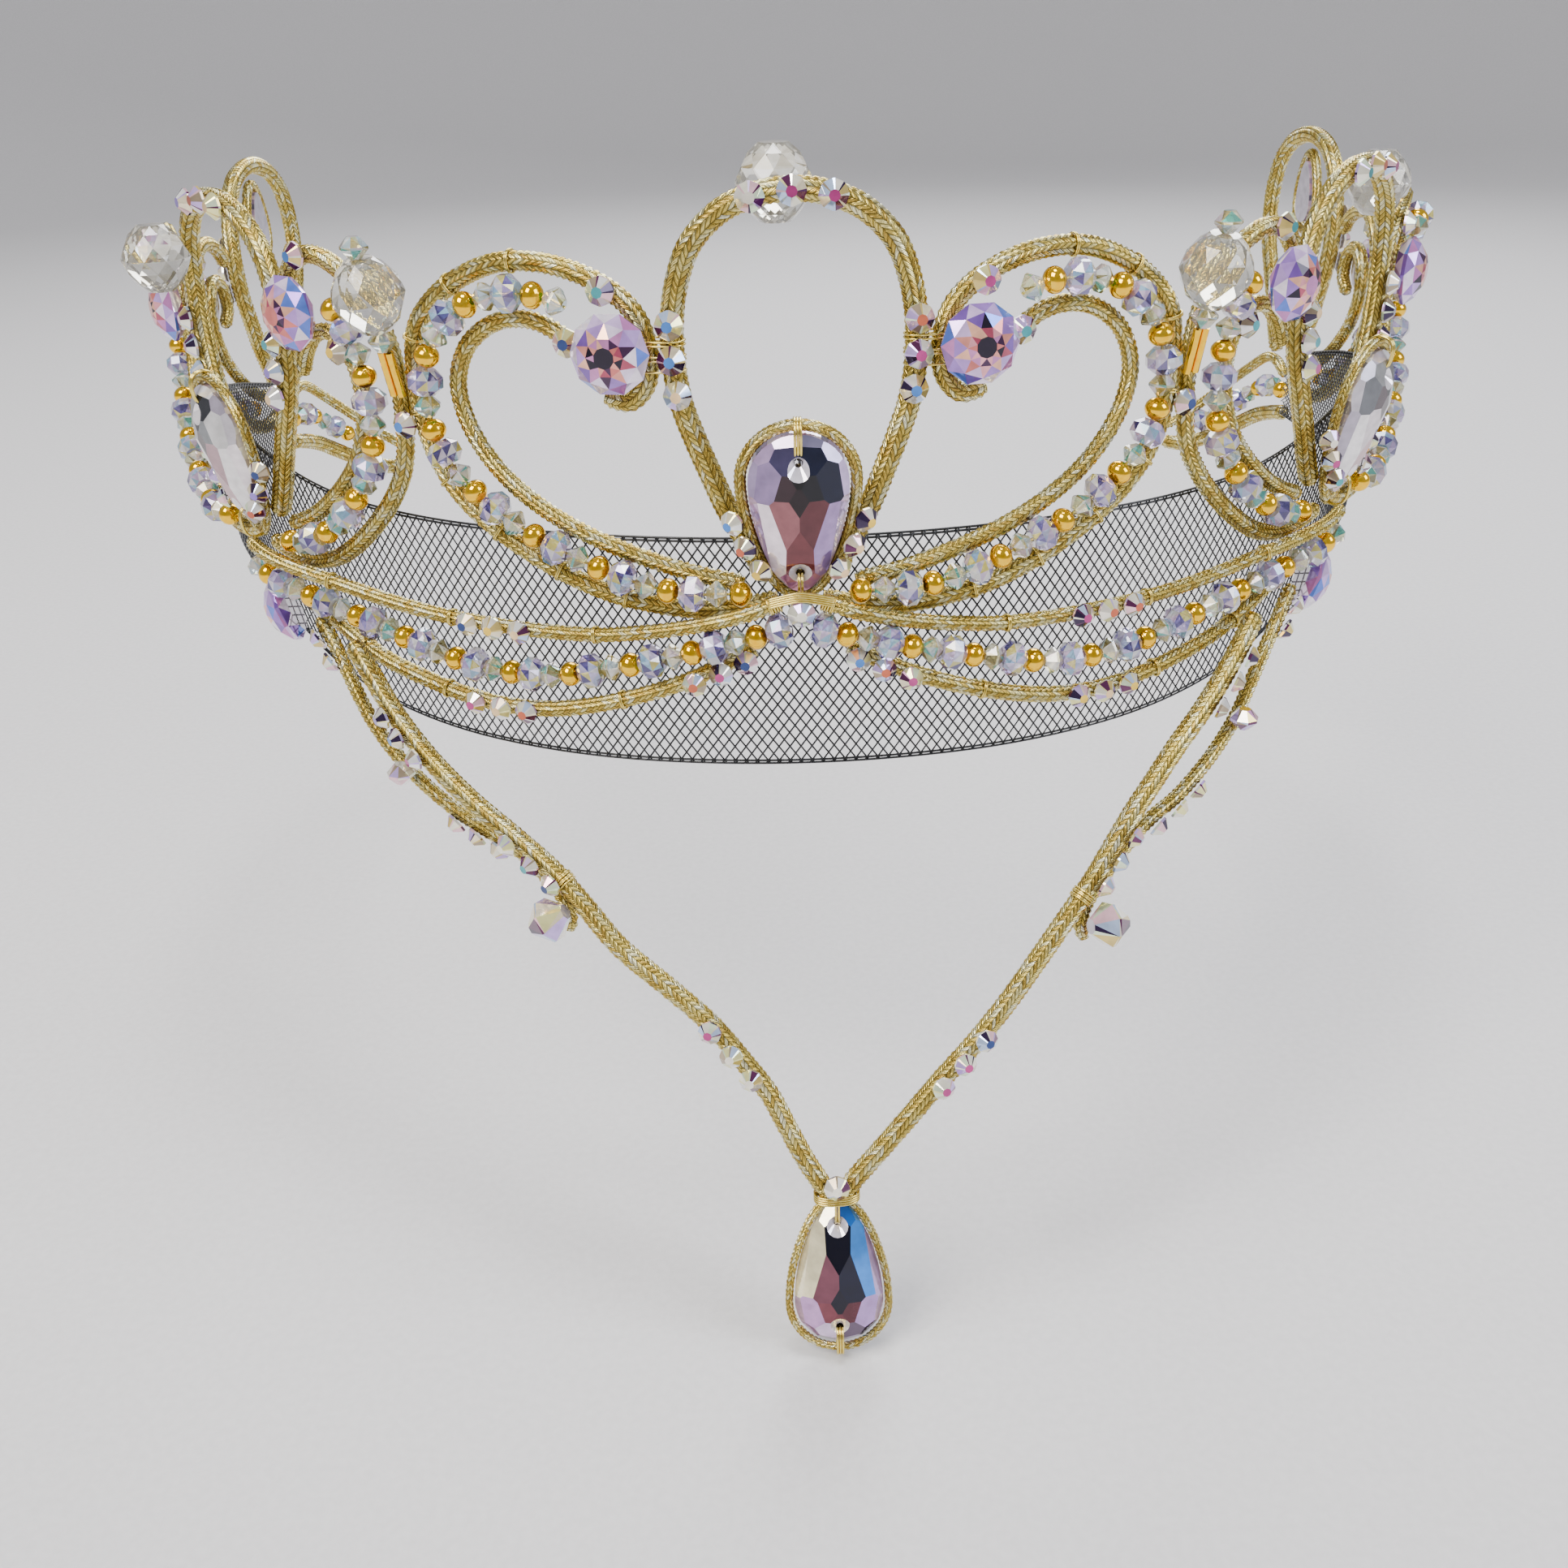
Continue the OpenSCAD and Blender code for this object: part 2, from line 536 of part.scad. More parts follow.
// Stones that lean out from the pear stone's lower edge, as a, z and the direction of the lean
pear_edge_stones = [[6.7, 9.3, -18], [5.5, 6.6, -22], [4, 4.1, -30]];
pear_edge_out = 3.1;
pear_edge_lean = 30;
module pear_side_stones(at) {
    for (q = pear_edge_stones)
        seated([at + q[0], q[1], pear_edge_out], pear_edge_lean, q[2]) flat_stone(small_w);
}
module front_half_stones() {
    for (q = limb_stones) seated([q[0], q[1], on_peak_out]) flat_stone();
    seated([scroll_stones[0][0], scroll_stones[0][1], on_outer_out]) flat_stone();
    seated([scroll_stones[1][0], scroll_stones[1][1], on_inner_out]) flat_stone();
    seated([near_join, join_stone_z, on_outer_out]) flat_stone();
    pear_side_stones(0);
}
module front_flat_stones() {
    for (q = top_stones) left_or_right(q) seated([abs(q[0]), q[1], on_peak_out]) flat_stone();
    front_half_stones();
    left() front_half_stones();
}
module left_or_right(q) {
    if (q[0] < 0) left() children();
    else children();
}
module side_half_stones() {
    for (q = low_limb_stones) {
        z = low_line + (q[1] - low_line) * side_top;
        seated([side_at - far_width * q[0], z, on_peak_out]) flat_stone();
        seated([side_at + far_width * q[0], z, on_peak_out]) flat_stone();
    }
    far = lifted(backward(scroll_stones, side_at, far_width), side_top);
    seated([far[0][0], far[0][1], on_outer_out]) flat_stone();
    seated([far[1][0], far[1][1], on_inner_out]) flat_stone();
    seated([side_at - 18, 34.6, on_outer_out]) flat_stone();
    seated([side_at - 22.6, 24.8, on_inner_out]) flat_stone();
    seated([far_join, join_stone_z, on_outer_out]) flat_stone();
    for (q = lifted(backward(top_stones, side_at, far_width), side_top))
        seated([q[0], q[1], on_peak_out]) flat_stone();
    for (side = [0, 1]) mirrored_about(side_at, side) pear_side_stones(0);
}
// Side 0 keeps a panel's half in front of its peak, and side 1 puts it behind
module mirrored_about(at, side) {
    translate(on_wall([at, 0, 0])) rotate([0, 0, turn_at(at)]) mirror([side, 0, 0])
        translate([0, front_depth, 0]) children();
}
module side_flat_stones() {
    side_half_stones();
    left() side_half_stones();
}

// Swags
module right_swag_top() {
    wall_cord(swag_top_run, swag_top_d, 11);
}
module right_swag_low() {
    wall_cord(swag_low_run, swag_low_d, 11);
}
module right_swag_string() {
    string_tube(swag_string_run, 10);
}
// Stones on the upper cord, then on the lower one, as a, z and the cord's own out
swag_top_stones = [[30.8, -4, 2.3], [34, -3.9, 2.3], [37.2, -3.8, 2.3]];
swag_low_stones = [
    [6, -6.7, 1.2], [8.7, -7.9, 1.6], [11.5, -9, 2],
    [30.8, -13.6, 2.4], [34, -13.6, 2.4], [37.2, -13.3, 2.4]];
centre_stone = [0, -0.2, 4.7];
module swag_half_stones() {
    for (q = swag_top_stones) seated([q[0], q[1], q[2] + swag_top_d / 2 + gap]) flat_stone(small_w);
    for (q = swag_low_stones) seated([q[0], q[1], q[2] + swag_low_d / 2 + gap]) flat_stone(small_w);
}
module swag_flat_stones() {
    swag_half_stones();
    left() swag_half_stones();
    seated(centre_stone) flat_stone();
}

// Net band behind the swags and scrolls: distance round the ring, its top and its bottom
net_rows = [
    [0, 6, net_low], [30, 6, net_low], [50, 6, net_low + 1], [66, 7, net_low + 4], [80, 10, -11],
    [100, 12, -7], [120, 10, -6], [147, 4, -5.5]];
net_out = -1.6;
net_columns = 30;
module net_band() {
    far = net_rows[len(net_rows) - 1][0];
    top = [for (r = net_rows) [r[0], r[1]]];
    low = [for (r = net_rows) [r[0], r[2]]];
    pts = [for (i = [0:net_columns])
        let (a = far * (2 * i / net_columns - 1), t = lookup(abs(a), top), b = lookup(abs(a), low))
        each [on_wall([a, b, net_out]), on_wall([a, t, net_out]),
              on_wall([a, t, net_out - net_t]), on_wall([a, b, net_out - net_t])]];
    faces = concat(
        [[3, 2, 1, 0], [for (k = [0:3]) net_columns * 4 + k]],
        [for (i = [0:net_columns - 1]) for (k = [0:3])
            [i * 4 + k, i * 4 + (k + 1) % 4, (i + 1) * 4 + (k + 1) % 4, (i + 1) * 4 + k]]);
    color(black) polyhedron(pts, faces, convexity = 8);
}

// The V on the forehead: column 1 of the front rows is the left side's x, and column 2 the right's
function strand(rows, column, out, n) =
    let (p = [for (r = rows) on_sheet(r[column], r[0], out)]) smooth(p, n);
module vee(column, rear_rows) {
    color(gold) cord(strand(vee_rows, column, 0, 14), vee_front_d);
    color(gold) cord(strand(rear_rows, 1, vee_rear_out, 12), vee_rear_d);
}
module left_vee() {
    vee(1, left_rear_rows);
}
module right_vee() {
    vee(2, right_rear_rows);
}
function strand_point(rows, column, z, out) =
    on_sheet(lookup(z, [for (i = [len(rows) - 1:-1:0]) [rows[i][0], rows[i][column]]]), z, out);
sheet_lean = atan(vee_slope);
stone_lift = 1.8 * gap;
// Turns what stands on +Z to face out of the V's sheet
module on_vee(p) {
    translate(p) rotate([0, 0, asin(p[0] / front_radius)]) rotate([90 - sheet_lean, 0, 0]) children();
}
// Seats a stone on a strand's surface, leaned towards the strand's lower side
module leaned_on(p, turn, lean, d) {
    on_vee(p) rotate([0, 0, turn]) rotate([0, lean, 0]) translate([0, 0, d / 2 + stone_lift])
        flat_stone(small_w);
}
// Heights of the V's stones, as groups on the front and the rear strands of each side
left_front_groups = [[-15.2, -17.2, -19.2], [-27.1, -29, -30.9]];
right_front_groups = [[-11.8, -14.2, -16.6], [-28.8, -31.2, -33.6]];
left_low_group = [[-46.4, -49.1, -51.8]];
right_low_group = [[-49.2, -51.6, -54]];
left_rear_group = [-8.4, -10.8, -26.5, -27.6, -28.7];
right_rear_group = [-8.4, -10.8, -26.4, -28, -29.4];
// Leans and turns of the stones: left, right, the lowest ones and the rear strands' ones
left_lean = 28;
right_lean = 45;
low_lean = 8;
stone_turn = 45;
rear_lean = 50;
rear_turn = 60;
module vee_stones(column, groups, turn, lean) {
    for (g = groups) for (z = g) leaned_on(strand_point(vee_rows, column, z, 0), turn, lean, vee_front_d);
}
module rear_stones(rows, group, turn) {
    for (z = group) leaned_on(strand_point(rows, 1, z, vee_rear_out), turn, rear_lean, vee_rear_d);
}
module vee_flat_stones() {
    vee_stones(1, left_front_groups, stone_turn - 180, left_lean);
    vee_stones(1, left_low_group, stone_turn - 180, low_lean);
    vee_stones(2, right_front_groups, -stone_turn, right_lean);
    vee_stones(2, right_low_group, -stone_turn, low_lean);
    rear_stones(left_rear_rows, left_rear_group, rear_turn - 180);
    rear_stones(right_rear_rows, right_rear_group, -rear_turn);
    on_vee(on_sheet(2.3, -64.6, vee_front_d / 2 + gap)) flat_stone();
}
// A bicone on each rear strand, and a large one that points away from the strand's hook
large_w = 5.4;
large_h = 4.8;
large_out = 1.3;
module large_bicone() {
    color(clear) rotate_extrude($fn = 24)
        polygon([[bore_d / 2, -large_h / 2], [large_w * 0.17, -large_h / 2], [large_w / 2, 0],
                 [large_w * 0.17, large_h / 2], [bore_d / 2, large_h / 2]]);
}
module vee_side_beads(rows, bicone_z, large_at, large_tip) {
    bead_out = vee_rear_out + vee_rear_d / 2 + 1.6 + gap;
    translate(strand_point(rows, 1, bicone_z, bead_out)) bicone();
    p = on_sheet(large_at[0], large_at[1], large_out);
    along(p, on_sheet(large_tip[0], large_tip[1], large_out) - p) large_bicone();
}
module vee_beads() {
    vee_side_beads(left_rear_rows, -21.8, [-29.6, -35.2], [-32.4, -37]);
    vee_side_beads(right_rear_rows, -19.6, [34.6, -38.6], [37.6, -39]);
}

// Tails behind the rear peaks
module right_tail() {
    wall_cord(tail_high_run, swag_top_d, 7);
    wall_cord(tail_low_run, peak_d, 7);
}
// A small pear stone in its own cord ring, inside each rear peak
drop_stone = [5.2, 9, 2.6];
drop_at = [149.6, 28.6];
module rear_drop() {
    seated([drop_at[0], drop_at[1], -1.3]) {
        pear_stone(drop_stone[0], drop_stone[1], drop_stone[2]);
        pear_frame(drop_stone[0], drop_stone[1], 1.5, 0.8, 0.4);
    }
}
module rear_drops() {
    rear_drop();
    left() rear_drop();
}

front_peak();
left() right_peak();  // left_peak
right_peak();
left() right_rear_peak();  // left_rear_peak
right_rear_peak();
left() front_right_scroll();  // front_left_scroll
front_right_scroll();
left() right_near_scroll();  // left_near_scroll
right_near_scroll();
left() right_far_scroll();  // left_far_scroll
right_far_scroll();
left() right_rear_scroll();  // left_rear_scroll
right_rear_scroll();
left() front_right_string();  // front_left_string
front_right_string();
string_threads();
left() right_side_strings();  // left_side_strings
right_side_strings();
rear_strings();
front_pear();
left() right_pear();  // left_pear
right_pear();
pendant_pear();
front_pear_frame();
left() right_pear_frame();  // left_pear_frame
right_pear_frame();
pendant_frame();
left() front_right_round_stone();  // front_left_round_stone
front_right_round_stone();
left() right_near_round_stone();  // left_near_round_stone
right_near_round_stone();
left() right_far_round_stone();  // left_far_round_stone
right_far_round_stone();
rear_round_stones();
vee_round_stones();
front_top_bead();
left_top_bead();
right_top_bead();
left() right_near_bead();  // left_near_bead
right_near_bead();
junction_sticks();
junction_beads();
front_flat_stones();
side_flat_stones();
vee_flat_stones();
swag_flat_stones();
left() right_swag_top();  // left_swag_top
right_swag_top();
left() right_swag_low();  // left_swag_low
right_swag_low();
left() right_swag_string();  // left_swag_string
right_swag_string();
net_band();
left_vee();
right_vee();
vee_beads();
left() right_tail();  // left_tail
right_tail();
rear_drops();
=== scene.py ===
import math
import random

import bmesh
import bpy
import numpy as np
from mathutils import Matrix, Vector


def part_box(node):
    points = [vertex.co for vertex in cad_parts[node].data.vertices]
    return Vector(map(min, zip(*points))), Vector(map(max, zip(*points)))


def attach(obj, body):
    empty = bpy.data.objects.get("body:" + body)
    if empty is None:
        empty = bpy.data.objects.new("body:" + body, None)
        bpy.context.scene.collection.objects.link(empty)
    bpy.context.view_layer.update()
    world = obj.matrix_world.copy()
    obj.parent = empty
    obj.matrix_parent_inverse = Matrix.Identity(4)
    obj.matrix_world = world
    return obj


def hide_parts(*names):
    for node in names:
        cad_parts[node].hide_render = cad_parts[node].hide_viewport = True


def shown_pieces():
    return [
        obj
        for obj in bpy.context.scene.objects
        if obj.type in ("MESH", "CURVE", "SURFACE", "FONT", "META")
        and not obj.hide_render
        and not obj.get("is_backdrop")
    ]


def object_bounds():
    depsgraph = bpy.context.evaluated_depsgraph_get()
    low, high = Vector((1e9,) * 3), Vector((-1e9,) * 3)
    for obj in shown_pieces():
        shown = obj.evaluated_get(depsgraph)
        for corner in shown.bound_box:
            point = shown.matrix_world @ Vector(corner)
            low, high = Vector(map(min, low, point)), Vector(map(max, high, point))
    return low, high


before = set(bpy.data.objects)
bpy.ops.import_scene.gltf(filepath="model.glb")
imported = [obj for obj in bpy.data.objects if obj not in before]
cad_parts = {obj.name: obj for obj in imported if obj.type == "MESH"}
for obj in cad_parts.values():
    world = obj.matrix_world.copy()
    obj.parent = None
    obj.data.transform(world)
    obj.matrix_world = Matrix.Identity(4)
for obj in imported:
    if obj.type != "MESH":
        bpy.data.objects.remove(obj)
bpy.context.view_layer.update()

mm = 0.001
print("frame loaded:", len(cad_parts), "nodes")


def clearSelection():
    if bpy.context.object and bpy.context.object.mode != "OBJECT":
        bpy.ops.object.mode_set(mode="OBJECT")
    bpy.ops.object.select_all(action="DESELECT")


def editAll():
    bpy.ops.object.mode_set(mode="EDIT")
    bpy.ops.mesh.select_all(action="SELECT")


def leaveEdit():
    bpy.ops.object.mode_set(mode="OBJECT")


clearSelection()


# camera at the photograph's angle, in millimetres of the headpiece's own frame
def makeCamera():
    settings = {"place": (-2.4, -222.8, 58.5), "pitch": 26.5, "roll": 1.7, "lens": 36.34, "sensor": 36}
    pitch, roll = math.radians(settings["pitch"]), math.radians(settings["roll"])
    forward = Vector((0, math.cos(pitch), -math.sin(pitch)))
    flatRight, flatUp = Vector((1, 0, 0)), Vector((0, math.sin(pitch), math.cos(pitch)))
    right = flatRight * math.cos(roll) - flatUp * math.sin(roll)
    up = right.cross(forward)
    turn = Matrix((right, up, -forward)).transposed().to_4x4()
    data = bpy.data.cameras.new("photoCamera")
    data.lens, data.sensor_width, data.sensor_fit = settings["lens"], settings["sensor"], "HORIZONTAL"
    data.clip_start, data.clip_end = 0.01, 100
    camera = bpy.data.objects.new("photoCamera", data)
    bpy.context.scene.collection.objects.link(camera)
    camera.matrix_world = Matrix.Translation(Vector(settings["place"]) * mm) @ turn
    bpy.context.scene.camera = camera


makeCamera()


# colours are sRGB hex
def linear(hexColour, alpha=1.0):
    parts = [int(hexColour[i : i + 2], 16) / 255 for i in (1, 3, 5)]
    parts = [c / 12.92 if c <= 0.04045 else ((c + 0.055) / 1.055) ** 2.4 for c in parts]
    return (*parts, alpha)


def addNode(tree, kind, settings=None, links=None):
    node = tree.nodes.new("ShaderNode" + kind)
    for name, value in (settings or {}).items():
        if name in node.inputs.keys():
            node.inputs[name].default_value = value
        elif isinstance(name, int):
            node.inputs[name].default_value = value
        else:
            setattr(node, name, value)
    for name, source in (links or {}).items():
        if isinstance(source, bpy.types.Node):  # a node stands for its first output
            source = source.outputs[0]
        tree.links.new(source, node.inputs[name])
    return node


def newMaterial(name, values):
    material = bpy.data.materials.new(name)
    material.use_nodes = True
    tree = material.node_tree
    tree.nodes.clear()
    shader = addNode(tree, "BsdfPrincipled", values)
    addNode(tree, "OutputMaterial", None, {"Surface": shader})
    return material, tree, shader


def setRamp(node, stops):
    ramp = node.color_ramp
    while len(ramp.elements) > 1:
        ramp.elements.remove(ramp.elements[-1])
    ramp.elements[0].position, ramp.elements[0].color = stops[0][0], linear(stops[0][1])
    for place, value in stops[1:]:
        ramp.elements.new(place).color = linear(value)
    return node


# a soft mottle between tints for the base colour; its spots are about 1000 / scale mm across
def addMottle(tree, shader, scale, detail, stops):
    coords = addNode(tree, "TexCoord")
    noise = addNode(
        tree, "TexNoise", {"Scale": scale, "Detail": detail}, {"Vector": coords.outputs["Object"]})
    tint = setRamp(addNode(tree, "ValToRGB", None, {0: noise}), stops)
    tree.links.new(tint.outputs[0], shader.inputs["Base Color"])
    return noise


# metallised polyester thread in a herringbone braid: pale champagne gold, with painted glints on single
# floats and painted olive-brown shade in the recesses between them
def metallicBraid():
    # the floats' random tones end in painted glints; the dark colour is painted shade for the grooves
    settings = {
        "floatTonesAndGlints": [(0, "#C2A14A"), (0.3, "#DFC35E"), (0.58, "#F1DB7C"), (0.8, "#FFF2A8"), (1, "#FFFCD6")],
        "paintedGrooveShade": "#54481F", "threadsPerFloat": 3, "bump": 0.5, "threadHeight": 0.00006}
    material, tree, shader = newMaterial("metallicThreadBraid", {"Metallic": 0.92, "Roughness": 0.26})
    coords = addNode(tree, "TexCoord")
    apart = addNode(tree, "SeparateXYZ", None, {0: coords.outputs["UV"]})
    across, along = apart.outputs[0], apart.outputs[1]
    # each float has a tint of its own, by its column round the cord and its row along it: a random tone, with
    # painted glints at the bright end
    column = addNode(tree, "Math", {"operation": "FLOOR"}, {0: across})
    shifted = addNode(tree, "Math", {"operation": "ADD", 1: 0.5}, {0: along})
    row = addNode(tree, "Math", {"operation": "FLOOR"}, {0: shifted})
    cell = addNode(tree, "CombineXYZ", None, {0: column, 1: row})
    glint = addNode(tree, "TexWhiteNoise", {"noise_dimensions": "2D"}, {"Vector": cell})
    body = setRamp(addNode(tree, "ValToRGB", None, {0: glint.outputs["Value"]}), settings["floatTonesAndGlints"])
    # painted shade in the groove between floats, from the distance to the ridge and to the column's middle
    alongGroove = addNode(tree, "Math", {"operation": "PINGPONG", 1: 0.5}, {0: along})
    acrossGroove = addNode(tree, "Math", {"operation": "PINGPONG", 1: 0.5}, {0: across})
    flipped = addNode(tree, "Math", {"operation": "SUBTRACT", 0: 0.5}, {1: acrossGroove})
    deepest = addNode(
        tree, "Math", {"operation": "MAXIMUM"}, {0: alongGroove, 1: flipped})
    paintedGrooveShade = addNode(
        tree, "MapRange", {"From Min": 0.31, "From Max": 0.49, "To Min": 0, "To Max": 0.92},
        {"Value": deepest})
    mixed = addNode(
        tree, "Mix", {"data_type": "RGBA", "blend_type": "MIX", 7: linear(settings["paintedGrooveShade"])},
        {0: paintedGrooveShade, 6: body})
    # threads side by side in each float, drawn coarser than the real ones so that they show, with painted
    # shade between threads and a painted highlight along each
    fine = addNode(
        tree, "Math", {"operation": "MULTIPLY", 1: 2 * math.pi * settings["threadsPerFloat"]},
        {0: along})
    wave = addNode(tree, "Math", {"operation": "SINE"}, {0: fine})
    shade = addNode(
        tree, "MapRange", {"From Min": -1, "From Max": 1, "To Min": 0.74, "To Max": 1.08},
        {"Value": wave})
    final = addNode(
        tree, "Mix", {"data_type": "RGBA", "blend_type": "MULTIPLY", 0: 1.0},
        {6: mixed.outputs[2], 7: shade})
    bump = addNode(
        tree, "Bump", {"Strength": settings["bump"], "Distance": settings["threadHeight"]},
        {"Height": wave})
    tree.links.new(final.outputs[2], shader.inputs["Base Color"])
    tree.links.new(bump.outputs[0], shader.inputs["Normal"])
    return material


# polished gold-plated brass: warm, with soft wear of its gloss between two roughnesses
def polishedGold(name, stops, low, high):
    material, tree, shader = newMaterial(name, {"Metallic": 1.0})
    noise = addMottle(tree, shader, scale=1900, detail=3, stops=stops)
    rough = addNode(tree, "MapRange", {"To Min": low, "To Max": high}, {"Value": noise})
    tree.links.new(rough.outputs[0], shader.inputs["Roughness"])
    return material


# cut crystal with a vapour coating or a foiled back: each facet keeps its own tint, the crystal's colour
# together with painted reflections, near white and dark
def cutCrystal(name, metallic, roughness, transmission, coat):
    material, tree, shader = newMaterial(name, {
        "Metallic": metallic, "Roughness": roughness, "Transmission Weight": transmission,
        "Coat Weight": coat, "Coat Roughness": 0.02, "IOR": 1.6})
    facet = addNode(tree, "Attribute", {"attribute_name": "facet"})
    coords = addNode(tree, "TexCoord")
    noise = addNode(
        tree, "TexNoise", {"Scale": 700, "Detail": 2}, {"Vector": coords.outputs["Object"]})
    depth = addNode(
        tree, "MapRange", {"From Min": 0.3, "From Max": 0.7, "To Min": 0.82, "To Max": 1.1},
        {"Value": noise})
    shade = addNode(
        tree, "Mix", {"data_type": "RGBA", "blend_type": "MULTIPLY", 0: 1.0},
        {6: facet.outputs["Color"], 7: depth})
    tree.links.new(shade.outputs[2], shader.inputs["Base Color"])
    return material


# black nylon monofilament of a crinoline braid
def blackNylon():
    material, tree, shader = newMaterial("blackNylon", {"Roughness": 0.32, "Specular IOR Level": 0.5})
    addMottle(tree, shader, scale=260, detail=2, stops=[(0.3, "#0E0F12"), (0.7, "#1D1F24")])
    return material


finishes = {
    "braid": metallicBraid(),
    "bead": polishedGold("polishedGoldPlate", [(0.3, "#FDC012"), (0.7, "#FFD23A")], 0.06, 0.12),
    "wire": polishedGold("goldWire", [(0.3, "#D9C05A"), (0.7, "#F0DC86")], 0.16, 0.26),
    "lilac": cutCrystal("foiledLilacCrystal", 0.5, 0.03, 0.0, 0.15),
    "aurora": cutCrystal("auroraCoatedCrystal", 0.6, 0.04, 0.0, 0.5),
    "rondelle": cutCrystal("lilacGlassBead", 0.12, 0.02, 0.62, 1.0),
    "bicone": cutCrystal("champagneGlassBead", 0.12, 0.02, 0.66, 1.0),
    "clear": cutCrystal("clearCutGlass", 0.0, 0.01, 0.9, 0.5),
    "net": blackNylon(),
}
print("finishes made:", len(finishes))


# the ring's curved wall, as [distance round, height, distance out] in millimetres
ring = {"frontRadius": 87, "sideRadius": 56, "rearRadius": 200, "depth": 60, "frontTurn": 63, "sideTurn": 86}
# where the side's and the rear's pieces centre, how narrow and low they are beside the front's, and
# the height that they are lowered to
sideAt, rearAt = 75, 151.5
farWidth, sideTop, rearTop, lowLine = 0.945, 0.92, 0.835, 12


def aim(turn):
    return np.array([math.sin(math.radians(turn)), -math.cos(math.radians(turn))])


frontLength = math.radians(ring["frontTurn"]) * ring["frontRadius"]
sideLength = math.radians(ring["sideTurn"] - ring["frontTurn"]) * ring["sideRadius"]
frontMiddle = np.array([0, ring["frontRadius"] - ring["depth"]])
sideMiddle = frontMiddle + (ring["frontRadius"] - ring["sideRadius"]) * aim(ring["frontTurn"])
rearMiddle = sideMiddle + (ring["sideRadius"] - ring["rearRadius"]) * aim(ring["sideTurn"])


def turnAt(a):
    if a <= frontLength:
        return math.degrees(a / ring["frontRadius"])
    if a <= frontLength + sideLength:
        return ring["frontTurn"] + math.degrees((a - frontLength) / ring["sideRadius"])
    return ring["sideTurn"] + math.degrees((a - frontLength - sideLength) / ring["rearRadius"])


def onWall(a, z, out):
    far = abs(a)
    if far <= frontLength:
        middle, radius = frontMiddle, ring["frontRadius"]
    elif far <= frontLength + sideLength:
        middle, radius = sideMiddle, ring["sideRadius"]
    else:
        middle, radius = rearMiddle, ring["rearRadius"]
    x, y = middle + (radius + out) * aim(turnAt(far))
    return np.array([-x if a < 0 else x, y, z])


# the V's sheet: curved as the front of the wall is, and leaning back as it rises
veeSheet = {"front": -64.5, "radius": 87, "lean": 0.26, "level": -8}


def onSheet(x, z, out):
    s = veeSheet
    return np.array([x, s["front"] - out + x * x / (2 * s["radius"]) + s["lean"] * (z - s["level"]), z])


# a smooth curve through all the points
def smooth(points, steps=160):
    p = np.array(points, float)
    n = len(p) - 1
    found = []
    for k in range(steps + 1):
        u = k / steps * n
        i = min(int(u), n - 1)
        t = u - i
        a, b, c, d = p[max(i - 1, 0)], p[i], p[i + 1], p[min(i + 2, n)]
        found.append(
            0.5 * (2 * b + (c - a) * t + (2 * a - 5 * b + 4 * c - d) * t * t + (3 * b - a - 3 * c + d) * t**3)
        )
    return np.array(found)


def onRing(points):
    return np.array([onWall(*q) for q in smooth(points)])


def forward(points, at):
    return [[at - a, z, out] for a, z, out in points]


def backward(points, at, wide):
    return [[at + wide * a, z, out] for a, z, out in points]


def lifted(points, k):
    return [[a, lowLine + (z - lowLine) * k if z > lowLine else z, out] for a, z, out in points]


def toLeft(points):
    return np.array(points) * [-1, 1, 1]


